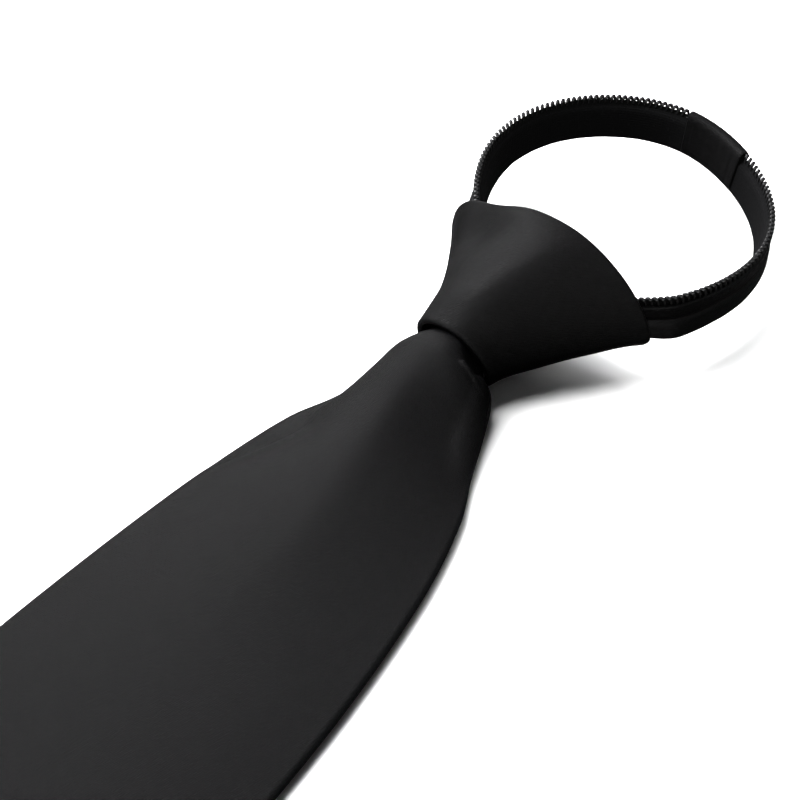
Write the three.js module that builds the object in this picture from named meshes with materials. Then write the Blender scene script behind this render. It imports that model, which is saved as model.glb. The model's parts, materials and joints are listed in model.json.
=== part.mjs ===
// A ready-tied zipper necktie lying face up, in millimetres.
// +Z is up from the surface it lies on, the blade runs towards -Y and the neck loop towards +Y.
// The pieces are laid out round the knot's lower lip, then the whole is centred on its bounding box.
import * as THREE from "three";

// Cloth and gaps
const PIECE_GAP = 0.3;
const FOLDED_EDGE = 2.8;
const FOLD_MIDDLE = 0.4; // share of a folded edge's thickness that its outermost line lies at
const FOLD_INSET = 0.336;

// The neck loop stands off the surface and the knot slopes up to it. A point at y is raised by its
// rise while it moves towards the eye of the camera, so its place in the picture stays the same.
const CAMERA_EYE = new THREE.Vector3(134.283, -192.12, 265.47);
const LIFT = [
  { y: -24, rise: 0 },
  { y: -8, rise: 0 },
  { y: 3, rise: 0.9 },
  { y: 15, rise: 2.6 },
  { y: 26, rise: 4.3 },
  { y: 37.4, rise: 5.8 },
  { y: 50, rise: 6.0 },
  { y: 65, rise: 5.0 },
  { y: 82, rise: 3.4 },
  { y: 102, rise: 2.2 },
];

// Blade
const BLADE_TIP = -440;
const BLADE_WIDEST = -400;
const BLADE_START = 15;
const BLADE_STATIONS = 34;
const BLADE_STEPS_ACROSS = 18;
const BLADE_CROWDING = 1.9; // the power that crowds the blade's sections towards the knot
const UNDERSIDE_POWER = 6; // how flat the hollow beneath is before it turns down to the edges
// One row per section. left and right are the two folded edges and base is the height they lie at,
// crest and top are where the blade is highest, round is 0.5 for a round bundle and 1 for a flat arch,
// under is the height of the hollow beneath, and roof is 1 where the right side falls straight.
const BLADE_COLUMNS = ["left", "right", "base", "crest", "top", "round", "under", "roof"];
const BLADE_SECTIONS = [
  { y: 15, left: -10.2, right: 3, base: 2.4, crest: -3.6, top: 13.4, round: 0.5, under: 5.7, roof: 0 },
  { y: 4, left: -10.8, right: 3.8, base: 2.2, crest: -3.6, top: 14.4, round: 0.5, under: 5.6, roof: 0 },
  { y: -2, left: -13.2, right: 7, base: 1.2, crest: -3.2, top: 16.1, round: 0.52, under: 5.2, roof: 0 },
  { y: -9, left: -15, right: 12.4, base: 0.3, crest: -2.2, top: 14.4, round: 0.6, under: 3.8, roof: 0.4 },
  { y: -16, left: -17.6, right: 17.4, base: 0, crest: -1.7, top: 12.6, round: 0.72, under: 3.3, roof: 0.9 },
  { y: -26, left: -22.2, right: 22.2, base: 0, crest: -1.8, top: 10.6, round: 0.9, under: 3.4, roof: 1 },
  { y: -45, left: -26.4, right: 26.8, base: 0, crest: -1.9, top: 8.7, round: 1, under: 3.6, roof: 1 },
  { y: -75, left: -29.8, right: 30.4, base: 0, crest: -1, top: 6.6, round: 1, under: 3.2, roof: 0.4 },
  { y: -110, left: -32, right: 32.4, base: 0, crest: 0, top: 5.6, round: 1, under: 2.8, roof: 0 },
  { y: -200, left: -35, right: 35.2, base: 0, crest: 0, top: 5.3, round: 1, under: 2.6, roof: 0 },
  { y: -300, left: -37.6, right: 37.8, base: 0, crest: 0, top: 4.8, round: 1, under: 2.1, roof: 0 },
  { y: -400, left: -40, right: 40, base: 0, crest: 0, top: 4.4, round: 1, under: 1.5, roof: 0 },
];
const ROOF_SOFTNESS = 0.2; // how softly the straight right side turns over the crest
const TIP_HALF_WIDTH = 0.8;
const TIP_RISE = 0.2; // how far the point's top lies above its folded edge
const TIP_STATIONS = 6;

// Knot: one row per section from the lower lip to the mouth. crown is the top of its front, side is
// the height of its widest points, wall is the wrapped cloth's thickness, and slant is how far the
// section's back stands nearer the mouth than its front.
const KNOT_SECTIONS = [
  { y: 3.2, left: -12.7, right: 6.0, crown: 16.9, side: 6.0, wall: 1.4, slant: 4.5 },
  { y: 8, left: -13.4, right: 7.4, crown: 18.4, side: 5.6, wall: 1.8, slant: 3.6 },
  { y: 15, left: -15.0, right: 11.1, crown: 20.2, side: 5.0, wall: 2.0, slant: 2.4 },
  { y: 22, left: -18.0, right: 15.2, crown: 21.8, side: 4.6, wall: 2.1, slant: 1.4 },
  { y: 29, left: -21.6, right: 19.8, crown: 23.2, side: 4.2, wall: 2.1, slant: 0.6 },
  { y: 34, left: -24.4, right: 23.4, crown: 24.2, side: 4.0, wall: 2.0, slant: 0.2 },
  { y: 37.4, left: -26.7, right: 26.6, crown: 24.6, side: 3.8, wall: 1.8, slant: 0 },
];
const KNOT_MOUTH_Y = KNOT_SECTIONS.at(-1).y;
const KNOT_STATIONS = 14;
const KNOT_STEPS_OVER = 26;
const KNOT_STEPS_CORNER = 4;
const KNOT_BACK_SHARES = [-0.5, 0, 0.5]; // the back's points between its corners
const KNOT_FLAT_SHARE = 0.78; // how much of the half width lies flat on the surface
const KNOT_FULL_LEFT = 0.78; // the power of the section's front on its fuller left side
const KNOT_FULL_RIGHT = 1.32;
const KNOT_TURN_FROM = Math.PI * 0.3; // the angles between which the one power goes over to the other
const KNOT_TURN_TO = Math.PI * 0.7;

// Neck loop: its coil line seen from above is a rounded oval with a slightly pointed lower end
const LOOP_CENTRE_X = 1.1;
const LOOP_CENTRE_Y = 65;
const LOOP_TOP = 13.4;
const LOOP_HALF_WIDTH = 31.2;
const LOOP_HALF_LENGTH = 35.6;
const LOOP_SKEW = -1.6;
const LOOP_SQUARE_X = 1.85;
const LOOP_EGG = 2.6;
const LOOP_SQUARE_Y = 0.5;
const LOOP_YAW = THREE.MathUtils.degToRad(3.85);
const LOOP_SIDE_SLOPE = -0.04;
const LOOP_WAVE = -0.4;
const LOOP_RIGHT_END = THREE.MathUtils.degToRad(-74); // where each band meets the slider
const LOOP_LEFT_END = THREE.MathUtils.degToRad(254);
const NECK_JOINT_MIDDLE = THREE.MathUtils.degToRad(70.5);
const NECK_JOINT_HALF_SPAN = THREE.MathUtils.degToRad(20);

// Bands: a woven tape inside, a satin facing outside and the coil on top of the tape
const BAND_HEIGHT = 11.2;
const BAND_HEIGHT_IN_KNOT = 8.6;
const BAND_LEAN_FAR = -10.3; // degrees, the lower edge leans inwards
const BAND_LEAN_NEAR = { right: 21, left: 6 }; // degrees more at the knot
const BAND_LEAN_FADE = 15;
const FACING_FLARE = { right: 0.2, left: 2.8 }; // the facing's lower edge stands out more at the knot
const BAND_STATIONS = 36;
const TUCK_FROM = 45; // the bands narrow and turn in below this y, inside the knot
const TUCK_TO = 33;
const TUCK_IN = 4.6;
const TUCK_WIDTH = 18.4; // the turn inwards fades out over this distance from the loop's middle
const TUCK_DOWN = 1.2;
const COIL_HEIGHT = 2.2;
const COIL_WIDTH = 1.5;
const TAPE_OUTER = -0.1; // the tape's two faces, measured outwards from the coil's middle
const TAPE_INNER = -1.1;
const TAPE_CREASE_DROP = 6.72;
// The facing's outer face, from its upper edge down: out is its distance from the coil's middle,
// and flare is its share of the extra flare at the knot.
const FACING_PROFILE = [
  { drop: 2.5, out: 1.25, flare: 0 },
  { drop: 5.4, out: 1.3, flare: 0 },
  { drop: 6.1, out: 1.2, flare: 0.1 },
  { drop: 6.9, out: 1.7, flare: 0.5 },
  { drop: 9.2, out: 1.8, flare: 0.9 },
  { drop: 11.2, out: 1.5, flare: 1 },
];
// The sleeve round the two tapes' ends: heights below the coil line and distances out from it
const SLEEVE_GAP = 0.36;
const SLEEVE_STATIONS = 14;
const SLEEVE_OUTSIDE = { high: -0.4, low: 12.5, inner: -2.5, outer: 1.7, round: 0.9 };
const SLEEVE_INSIDE = { high: 1.3, low: 11.5, inner: -1.45, outer: 0.4, round: 0.4 };

// Slider and the closed zipper behind the blade
const SLIDER = { width: 9, length: 9, height: 6.4, x: 0.8, y: 22.2, z: 6.8, corner: 1.5, facets: 4 };
const TAIL_THICKNESS = 2.1;
const TAIL_CORNER = 0.63;
const TAIL_CROWDING = 1.6;
const TAIL_START = 17;
const TAIL_SECTIONS = [
  { y: 17, half: 4.0, x: -3.4, base: 2.4 },
  { y: 3, half: 4.4, x: -3.4, base: 1.9 },
  { y: -8, half: 5.8, x: -2.4, base: 0.4 },
  { y: -16, half: 8.6, x: -1, base: 0 },
  { y: -40, half: 10.6, x: 0, base: 0 },
  { y: -175, half: 11.4, x: 0, base: 0 },
];
const TAIL_STATIONS = 18;

const SATIN = { color: 0x1d1d20, roughness: 0.5, metalness: 0 };
const WOVEN = { color: 0x151517, roughness: 0.85, metalness: 0 };
const NYLON = { color: 0x1a1a1c, roughness: 0.4, metalness: 0 };
const ENAMEL = { color: 0x141416, roughness: 0.35, metalness: 0.6 };

// Smooth value of one column of a table at y, by cubic steps between its rows.
function column(rows, key, y) {
  const last = rows.length - 1;
  const falling = rows[0].y > rows[last].y;
  let i = 0;
  while (i < last - 1 && (falling ? y < rows[i + 1].y : y > rows[i + 1].y)) i++;
  const slope = (k) => {
    const before = rows[Math.max(k - 1, 0)];
    const after = rows[Math.min(k + 1, last)];
    return (after[key] - before[key]) / (after.y - before.y);
  };
  const span = rows[i + 1].y - rows[i].y;
  const t = THREE.MathUtils.clamp((y - rows[i].y) / span, 0, 1);
  const t2 = t * t;
  const t3 = t2 * t;
  return (
    (2 * t3 - 3 * t2 + 1) * rows[i][key] +
    (t3 - 2 * t2 + t) * span * slope(i) +
    (3 * t2 - 2 * t3) * rows[i + 1][key] +
    (t3 - t2) * span * slope(i + 1)
  );
}

const evenly = (from, to, count) =>
  Array.from({ length: count }, (_, i) => from + ((to - from) * i) / (count - 1));

// A point raised by the rise at its y, along its line of sight.
function lifted(p) {
  const rise = Math.max(column(LIFT, "rise", p.y), 0);
  return p.clone().addScaledVector(CAMERA_EYE.clone().sub(p), rise / (CAMERA_EYE.z - p.z));
}

// Closed skin over rings of equal length, lifted as they stand in the photo. The two end rings are
// filled from their middles. A tube with a wall passes wraps = true, because its rings run up the
// outside and back down the inside.
function skin(flatRings, wraps = false) {
  const rings = flatRings.map((ring) => ring.map(lifted));
  const n = rings[0].length;
  const positions = rings.flat().flatMap((p) => [p.x, p.y, p.z]);
  const index = [];
  const bands = wraps ? rings.length : rings.length - 1;
  for (let i = 0; i < bands; i++) {
    const a = i * n;
    const b = ((i + 1) % rings.length) * n;
    for (let j = 0; j < n; j++) {
      const k = (j + 1) % n;
      index.push(a + j, a + k, b + k, a + j, b + k, b + j);
    }
  }
  if (!wraps) {
    const last = (rings.length - 1) * n;
    const first = rings.length * n;
    positions.push(...middleOf(rings[0]).toArray(), ...middleOf(rings.at(-1)).toArray());
    for (let j = 0; j < n; j++) {
      const k = (j + 1) % n;
      index.push(first, k, j, first + 1, last + j, last + k);
    }
  }
  const geometry = new THREE.BufferGeometry();
  geometry.setAttribute("position", new THREE.Float32BufferAttribute(positions, 3));
  geometry.setIndex(index);
  if (signedVolume(geometry) < 0) geometry.setIndex(index.reverse());
  geometry.computeVertexNormals();
  return geometry;
}

function middleOf(ring) {
  const sum = ring.reduce((total, p) => total.add(p), new THREE.Vector3());
  return sum.divideScalar(ring.length);
}

function signedVolume(geometry) {
  const at = geometry.getAttribute("position");
  const index = geometry.getIndex();
  const corners = [new THREE.Vector3(), new THREE.Vector3(), new THREE.Vector3()];
  let six = 0;
  for (let i = 0; i < index.count; i += 3) {
    corners.forEach((corner, k) => corner.fromBufferAttribute(at, index.getX(i + k)));
    six += corners[0].dot(new THREE.Vector3().crossVectors(corners[1], corners[2]));
  }
  return six / 6;
}

function piece(name, geometry, finish) {
  const mesh = new THREE.Mesh(geometry, new THREE.MeshStandardMaterial(finish));
  mesh.name = name;
  return mesh;
}

// Height of the blade's top at x, arching from its folded edges to its crest.
function bladeTop(row, x) {
  const reach = x < row.crest ? row.crest - row.left : row.right - row.crest;
  const share = Math.min(Math.abs(x - row.crest) / reach, 1);
  const edge = row.base + FOLDED_EDGE;
  const arch = (1 - share * share) ** row.round;
  const fall = (part) => Math.hypot(part, ROOF_SOFTNESS) - ROOF_SOFTNESS;
  const straight = 1 - fall(share) / fall(1);
  const roof = x > row.crest ? THREE.MathUtils.clamp(row.roof, 0, 1) : 0;
  return edge + (row.top - edge) * THREE.MathUtils.lerp(arch, straight, roof);
}

// Height of the blade's underside: flat in the middle, down on the surface at both edges.
function bladeUnder(row, x) {
  const reach = x < row.crest ? row.crest - row.left : row.right - row.crest;
  const share = Math.min(Math.abs(x - row.crest) / reach, 1);
  return row.base + (row.under - row.base) * (1 - share ** UNDERSIDE_POWER);
}

function bladeRing(y) {
  const row = { y };
  const at = Math.max(y, BLADE_WIDEST);
  for (const key of BLADE_COLUMNS) row[key] = column(BLADE_SECTIONS, key, at);
  if (y < BLADE_WIDEST) {
    const taper = (y - BLADE_TIP) / (BLADE_WIDEST - BLADE_TIP);
    row.left = Math.min(row.left * taper, -TIP_HALF_WIDTH);
    row.right = Math.max(row.right * taper, TIP_HALF_WIDTH);
    row.top = THREE.MathUtils.lerp(FOLDED_EDGE + TIP_RISE, row.top, taper);
    row.under *= taper;
  }
  // The steps across crowd towards the folded edges, where the surface turns fastest.
  const across = evenly(Math.PI, 0, BLADE_STEPS_ACROSS + 1).map((angle) => {
    const side = Math.cos(angle);
    return side < 0
      ? row.crest + side * (row.crest - row.left)
      : row.crest + side * (row.right - row.crest);
  });
  const over = across.map((x) => new THREE.Vector3(x, y, bladeTop(row, x)));
  const back = across
    .slice(1, -1)
    .reverse()
    .map((x) => new THREE.Vector3(x, y, bladeUnder(row, x)));
  const fold = (x) => new THREE.Vector3(x, y, row.base + FOLDED_EDGE * FOLD_MIDDLE);
  return [...over, fold(row.right - FOLD_INSET), ...back, fold(row.left + FOLD_INSET)];
}

function frontBlade() {
  const body = evenly(0, 1, BLADE_STATIONS).map((t) =>
    THREE.MathUtils.lerp(BLADE_START, BLADE_WIDEST, t ** BLADE_CROWDING),
  );
  const tip = evenly(BLADE_WIDEST, BLADE_TIP, TIP_STATIONS + 1).slice(1);
  return skin([...body, ...tip].map(bladeRing));
}

// One ring of the knot at y, offset inwards by inset. It runs over the front, round the left side,
// along the flat back and up the right side.
function knotRing(y, inset) {
  const row = { y };
  for (const key of ["left", "right", "crown", "side", "wall", "slant"])
    row[key] = column(KNOT_SECTIONS, key, y);
  const middle = (row.left + row.right) / 2;
  const half = (row.right - row.left) / 2;
  const ring = [];
  for (const angle of evenly(0, Math.PI, KNOT_STEPS_OVER + 1)) {
    const full = THREE.MathUtils.lerp(
      KNOT_FULL_RIGHT,
      KNOT_FULL_LEFT,
      THREE.MathUtils.smoothstep(angle, KNOT_TURN_FROM, KNOT_TURN_TO),
    );
    const rise = Math.max(Math.sin(angle), 0) ** full;
    const height = row.side + (row.crown - row.side) * rise;
    ring.push(new THREE.Vector2(middle + half * Math.cos(angle), height));
  }
  const flat = half * KNOT_FLAT_SHARE;
  const corner = half - flat;
  const corners = evenly(0, Math.PI / 2, KNOT_STEPS_CORNER + 1).slice(1);
  const cornerAt = (angle, turn) =>
    new THREE.Vector2(
      middle + turn * (flat + corner * Math.cos(angle)),
      row.side * (1 - Math.sin(angle)),
    );
  for (const angle of corners) ring.push(cornerAt(angle, -1));
  for (const share of KNOT_BACK_SHARES) ring.push(new THREE.Vector2(middle + flat * share, 0));
  for (const angle of [...corners].reverse()) ring.push(cornerAt(angle, 1));
  return inwards(ring, inset * row.wall).map(
    (p) => new THREE.Vector3(p.x, y + row.slant * (1 - p.y / row.crown), p.y),
  );
}

// A counter-clockwise ring moved inwards by a distance, along the mean normal at each point.
function inwards(ring, distance) {
  const n = ring.length;
  return ring.map((p, i) => {
    const along = ring[(i + 1) % n].clone().sub(ring[(i + n - 1) % n]).normalize();
    return new THREE.Vector2(p.x - along.y * distance, p.y + along.x * distance);
  });
}

function knot() {
  const stations = evenly(KNOT_SECTIONS[0].y, KNOT_MOUTH_Y, KNOT_STATIONS);
  const outside = stations.map((y) => knotRing(y, 0));
  const inside = stations.map((y) => knotRing(y, 1)).reverse();
  return skin([...outside, ...inside], true);
}

// The coil line and the directions of the band that hangs from it, at angle t round the loop.
function loopAt(t) {
  const flat = (s) => {
    const p = LOOP_HALF_WIDTH * Math.cos(s) + LOOP_SKEW * Math.sin(2 * s);
    const q = LOOP_HALF_LENGTH * Math.sin(s) + LOOP_EGG * Math.cos(2 * s);
    const square = new THREE.Vector2(LOOP_SQUARE_X * Math.cos(3 * s), LOOP_SQUARE_Y * Math.sin(3 * s));
    return new THREE.Vector2(p, q).add(square).rotateAround(new THREE.Vector2(), LOOP_YAW);
  };
  const here = flat(t);
  const step = 1e-3;
  const ahead = flat(t + step).sub(flat(t - step)).normalize();
  const out = new THREE.Vector3(ahead.y, -ahead.x, 0);
  const y = LOOP_CENTRE_Y + here.y;
  const tuck = 1 - THREE.MathUtils.smoothstep(y, TUCK_TO, TUCK_FROM);
  const side = here.x > 0 ? "right" : "left";
  const turn = side === "right" ? tuck : 0; // only the right band turns in and down
  const top = new THREE.Vector3(
    LOOP_CENTRE_X + here.x - TUCK_IN * turn * THREE.MathUtils.smoothstep(here.x, 0, TUCK_WIDTH),
    y,
    LOOP_TOP + LOOP_SIDE_SLOPE * here.x + LOOP_WAVE * Math.sin(2 * t) - TUCK_DOWN * turn,
  );
  const near = Math.exp(-Math.max(y - KNOT_MOUTH_Y, 0) / BAND_LEAN_FADE);
  const lean = THREE.MathUtils.degToRad((BAND_LEAN_FAR + BAND_LEAN_NEAR[side] * near) * (1 - tuck));
  const down = new THREE.Vector3(0, 0, -Math.cos(lean)).addScaledVector(out, Math.sin(lean));
  const away = out.clone().multiplyScalar(Math.cos(lean)).add(new THREE.Vector3(0, 0, Math.sin(lean)));
  const height = THREE.MathUtils.lerp(BAND_HEIGHT, BAND_HEIGHT_IN_KNOT, tuck);
  const flare = FACING_FLARE[side] * near * (1 - tuck);
  return { top, down, away, scale: height / BAND_HEIGHT, flare };
}

// A section given as pairs of drop and out, carried along the loop between two angles.
function alongLoop(from, to, stations, section) {
  return skin(
    evenly(from, to, stations).map((t) => {
      const { top, down, away, scale, flare: extra } = loopAt(t);
      return section.map(({ drop, out, flare = 0 }) =>
        top.clone().addScaledVector(down, drop * scale).addScaledVector(away, out + flare * extra),
      );
    }),
  );
}

// The coil's outline: narrow at the top and bottom, full width between
const HALF_COIL = COIL_WIDTH / 2;
const COIL_NECK = HALF_COIL / 2;
const COIL_SHOULDER = COIL_HEIGHT / 4;
const coilSection = [
  { drop: 0, out: COIL_NECK },
  { drop: COIL_SHOULDER, out: HALF_COIL },
  { drop: COIL_HEIGHT - COIL_SHOULDER, out: HALF_COIL },
  { drop: COIL_HEIGHT, out: COIL_NECK },
  { drop: COIL_HEIGHT, out: -COIL_NECK },
  { drop: COIL_HEIGHT - COIL_SHOULDER, out: -HALF_COIL },
  { drop: COIL_SHOULDER, out: -HALF_COIL },
  { drop: 0, out: -COIL_NECK },
];
const tapeSection = [
  { drop: COIL_HEIGHT + PIECE_GAP, out: TAPE_OUTER },
  { drop: TAPE_CREASE_DROP, out: TAPE_OUTER },
  { drop: BAND_HEIGHT, out: TAPE_OUTER },
  { drop: BAND_HEIGHT, out: TAPE_INNER },
  { drop: TAPE_CREASE_DROP, out: TAPE_INNER },
  { drop: COIL_HEIGHT + PIECE_GAP, out: TAPE_INNER },
];
const facingSection = [
  ...FACING_PROFILE,
  ...[...FACING_PROFILE].reverse().map(({ drop }) => ({ drop, out: TAPE_OUTER + PIECE_GAP })),
];

// The sleeve at the back of the neck: a flat tube that the tapes' ends meet in.
function neckJoint() {
  const stations = evenly(
    NECK_JOINT_MIDDLE - NECK_JOINT_HALF_SPAN,
    NECK_JOINT_MIDDLE + NECK_JOINT_HALF_SPAN,
    SLEEVE_STATIONS,
  );
  const along = ({ high, low, inner, outer, round }) =>
    stations.map((t) => {
      const { top, down, away } = loopAt(t);
      return [
        [high, inner + round],
        [high, outer - round],
        [high + round, outer],
        [low - round, outer],
        [low, outer - round],
        [low, inner + round],
        [low - round, inner],
        [high + round, inner],
      ].map(([drop, out]) => top.clone().addScaledVector(down, drop).addScaledVector(away, out));
    });
  return skin([...along(SLEEVE_OUTSIDE), ...along(SLEEVE_INSIDE).reverse()], true);
}

function slider() {
  const outline = new THREE.Shape();
  const halfWidth = SLIDER.width / 2;
  const halfLength = SLIDER.length / 2;
  const c = SLIDER.corner;
  outline.moveTo(-halfWidth + c, -halfLength);
  outline.lineTo(halfWidth - c, -halfLength);
  outline.absarc(halfWidth - c, -halfLength + c, c, -Math.PI / 2, 0);
  outline.lineTo(halfWidth, halfLength - c);
  outline.absarc(halfWidth - c, halfLength - c, c, 0, Math.PI / 2);
  outline.lineTo(-halfWidth + c, halfLength);
  outline.absarc(-halfWidth + c, halfLength - c, c, Math.PI / 2, Math.PI);
  outline.lineTo(-halfWidth, -halfLength + c);
  outline.absarc(-halfWidth + c, -halfLength + c, c, Math.PI, Math.PI * 1.5);
  const options = { depth: SLIDER.height, bevelEnabled: false, curveSegments: SLIDER.facets };
  return new THREE.ExtrudeGeometry(outline, options);
}

function zipperTail() {
  const last = TAIL_SECTIONS.at(-1).y;
  const soft = TAIL_CORNER;
  const stations = evenly(0, 1, TAIL_STATIONS).map((t) =>
    THREE.MathUtils.lerp(TAIL_START, last, t ** TAIL_CROWDING),
  );
  return skin(
    stations.map((y) => {
      const half = column(TAIL_SECTIONS, "half", y);
      const x = column(TAIL_SECTIONS, "x", y);
      const base = Math.max(column(TAIL_SECTIONS, "base", y), 0);
      return [
        [x + half - soft, base],
        [x + half, base + soft],
        [x + half, base + TAIL_THICKNESS - soft],
        [x + half - soft, base + TAIL_THICKNESS],
        [x - half + soft, base + TAIL_THICKNESS],
        [x - half, base + TAIL_THICKNESS - soft],
        [x - half, base + soft],
        [x - half + soft, base],
      ].map(([px, pz]) => new THREE.Vector3(px, y, pz));
    }),
  );
}

const tie = new THREE.Group();
tie.add(piece("knot", knot(), SATIN));
tie.add(piece("front_blade", frontBlade(), SATIN));
tie.add(piece("zipper_tail", zipperTail(), WOVEN));

const sliderMesh = piece("slider", slider(), ENAMEL);
sliderMesh.position.copy(lifted(new THREE.Vector3(SLIDER.x, SLIDER.y, SLIDER.z)));
tie.add(sliderMesh);

// The two tapes meet inside the sleeve, and the coils and facings stop a small gap short of it.
const seam = PIECE_GAP / 2 / LOOP_HALF_WIDTH;
const sleeveEnd = NECK_JOINT_HALF_SPAN + SLEEVE_GAP / LOOP_HALF_WIDTH;
for (const { side, end, turn } of [
  { side: "right", end: LOOP_RIGHT_END, turn: -1 },
  { side: "left", end: LOOP_LEFT_END, turn: 1 },
]) {
  const meeting = NECK_JOINT_MIDDLE + turn * seam;
  const stop = NECK_JOINT_MIDDLE + turn * sleeveEnd;
  tie.add(piece(`zipper_tape_${side}`, alongLoop(end, meeting, BAND_STATIONS, tapeSection), WOVEN));
  tie.add(piece(`zipper_coil_${side}`, alongLoop(end, stop, BAND_STATIONS, coilSection), NYLON));
  tie.add(piece(`facing_${side}`, alongLoop(end, stop, BAND_STATIONS, facingSection), SATIN));
}
tie.add(piece("neck_joint", neckJoint(), SATIN));

const box = new THREE.Box3().setFromObject(tie);
const centre = box.getCenter(new THREE.Vector3());
tie.position.set(-centre.x, -centre.y, -box.min.z);

const necktie = new THREE.Group();
necktie.name = "zipper_necktie";
necktie.add(tie);

export default necktie;
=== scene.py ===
"""A ready-tied zipper necktie in black satin, lying face up on a pale floor.

Every shape is worked out in the tie's own millimetres, with the knot's lower lip near the origin, the
blade towards -Y, the neck loop towards +Y and +Z up from the floor. It is then moved into the frame of the
CAD part and turned into metres. The pieces are dressed in four finishes: satin, woven zipper tape, nylon
coil and slider enamel.
"""

from __future__ import annotations

import json
import logging
import math
from dataclasses import dataclass, field
from enum import Enum

import bpy
import numpy as np
from mathutils import Matrix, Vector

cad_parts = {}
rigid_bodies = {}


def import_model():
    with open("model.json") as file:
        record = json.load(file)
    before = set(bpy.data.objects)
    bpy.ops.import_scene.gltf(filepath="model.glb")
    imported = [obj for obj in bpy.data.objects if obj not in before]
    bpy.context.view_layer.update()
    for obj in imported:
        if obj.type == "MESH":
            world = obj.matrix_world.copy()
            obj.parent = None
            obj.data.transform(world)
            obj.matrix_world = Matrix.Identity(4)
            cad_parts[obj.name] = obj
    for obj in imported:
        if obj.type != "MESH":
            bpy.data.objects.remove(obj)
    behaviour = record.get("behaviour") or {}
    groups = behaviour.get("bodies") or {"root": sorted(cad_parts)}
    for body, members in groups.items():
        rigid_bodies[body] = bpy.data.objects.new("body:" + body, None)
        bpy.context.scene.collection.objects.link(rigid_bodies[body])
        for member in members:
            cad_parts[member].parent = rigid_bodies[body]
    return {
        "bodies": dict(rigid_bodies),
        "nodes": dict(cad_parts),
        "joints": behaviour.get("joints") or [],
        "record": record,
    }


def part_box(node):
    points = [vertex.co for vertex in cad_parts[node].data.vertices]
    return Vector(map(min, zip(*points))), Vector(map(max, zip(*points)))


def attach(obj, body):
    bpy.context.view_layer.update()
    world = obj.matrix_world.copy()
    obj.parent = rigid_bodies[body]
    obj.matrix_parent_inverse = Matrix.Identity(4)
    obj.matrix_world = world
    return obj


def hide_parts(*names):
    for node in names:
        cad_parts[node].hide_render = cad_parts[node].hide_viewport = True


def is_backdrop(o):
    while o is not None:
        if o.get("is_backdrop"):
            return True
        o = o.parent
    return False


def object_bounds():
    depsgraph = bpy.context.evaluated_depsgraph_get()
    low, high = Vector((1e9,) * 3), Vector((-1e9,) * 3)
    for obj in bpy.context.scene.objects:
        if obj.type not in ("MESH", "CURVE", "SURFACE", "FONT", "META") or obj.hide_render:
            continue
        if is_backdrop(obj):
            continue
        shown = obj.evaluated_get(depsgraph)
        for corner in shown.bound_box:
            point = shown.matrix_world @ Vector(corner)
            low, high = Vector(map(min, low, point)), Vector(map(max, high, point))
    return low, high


LOG = logging.getLogger("zipper_necktie")
Array = np.ndarray
Colour = tuple[float, float, float]
Triple = tuple[float, float, float]

MM = 0.001
BODY = "root"
CLOTH_MAP = "cloth"
BLADE_TIP_Y = -440.0
KNOT_MOUTH_Y = 37.4


class Slot(Enum):
    """The record's material slots."""

    SATIN = "satin"
    TAPE = "woven_tape"
    COIL = "nylon_coil"
    ENAMEL = "slider_enamel"


class Side(Enum):
    """The two sides of the neck loop: its sign in x and the angle at which its band ends inside the knot."""

    RIGHT = ("right", -74.0, -1.0)
    LEFT = ("left", 254.0, 1.0)

    @property
    def label(self) -> str:
        """The side's word for names of pieces and nodes."""
        return self.value[0]

    @property
    def end(self) -> float:
        """The angle round the loop, in radians, where the side's band ends inside the knot."""
        return math.radians(self.value[1])

    @property
    def turn(self) -> float:
        """The direction of rising angle, from the nape to the side's end."""
        return self.value[2]


def smoothstep(value: Array, low: float, high: float) -> Array:
    """Smooth step from 0 at low to 1 at high, by the cubic 3t^2 - 2t^3.

    Args:
        value: where the step is read.
        low: the value at which the step starts.
        high: the value at which the step ends.

    Returns:
        The step at each value.
    """
    t = np.clip((np.asarray(value, float) - low) / (high - low), 0.0, 1.0)
    return t * t * (3.0 - 2.0 * t)


def bell(value: Array, middle: float, width: float) -> Array:
    """Bell curve exp(-((value - middle) / width)^2), 1 at its middle."""
    return np.exp(-(((np.asarray(value, float) - middle) / width) ** 2))


def soft_max(first: Array, second: Array, softness: float) -> Array:
    """The greater of two heights with a rounded valley between them.

    The rounding is the mean of both plus half the root of their difference squared plus softness squared.

    Args:
        first: one height.
        second: the other height.
        softness: how wide the rounding is, in millimetres.

    Returns:
        The joined height.
    """
    gap = first - second
    return 0.5 * (first + second + np.sqrt(gap * gap + softness * softness) - softness)


def ripple(x: Array, y: Array, seed: int, length: float, octaves: int = 3) -> Array:
    """Slow uneven ripple as a sum of a few sine waves in random directions.

    Args:
        x: first coordinate in millimetres.
        y: second coordinate in millimetres.
        seed: which ripple, the same one for the same seed.
        length: the longest wave in millimetres.
        octaves: how many sets of shorter waves are added.

    Returns:
        A value between about -1 and 1 at each point.
    """
    draw = np.random.default_rng(seed)
    total = np.zeros(np.broadcast(x, y).shape)
    weight = 0.0
    for octave in range(octaves):
        share = 0.6**octave
        for _ in range(4):
            heading = draw.uniform(0.0, math.tau)
            phase = draw.uniform(0.0, math.tau)
            wave = length * draw.uniform(0.7, 1.3) / 2.0**octave
            travel = x * math.cos(heading) + y * math.sin(heading)
            total += share * np.sin(math.tau * travel / wave + phase)
        weight += 4.0 * share
    return total / weight * 2.0


def boxy(wave: Array, power: float) -> Array:
    """A sine or cosine wave squared off by a power below 1, with its sign kept."""
    return np.sign(wave) * np.abs(wave) ** power


def between(first: Array, second: Array, wave: Array) -> Array:
    """A value that is first where the wave is 1 and second where it is -1."""
    return (first + second) / 2 + (first - second) / 2 * wave


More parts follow.
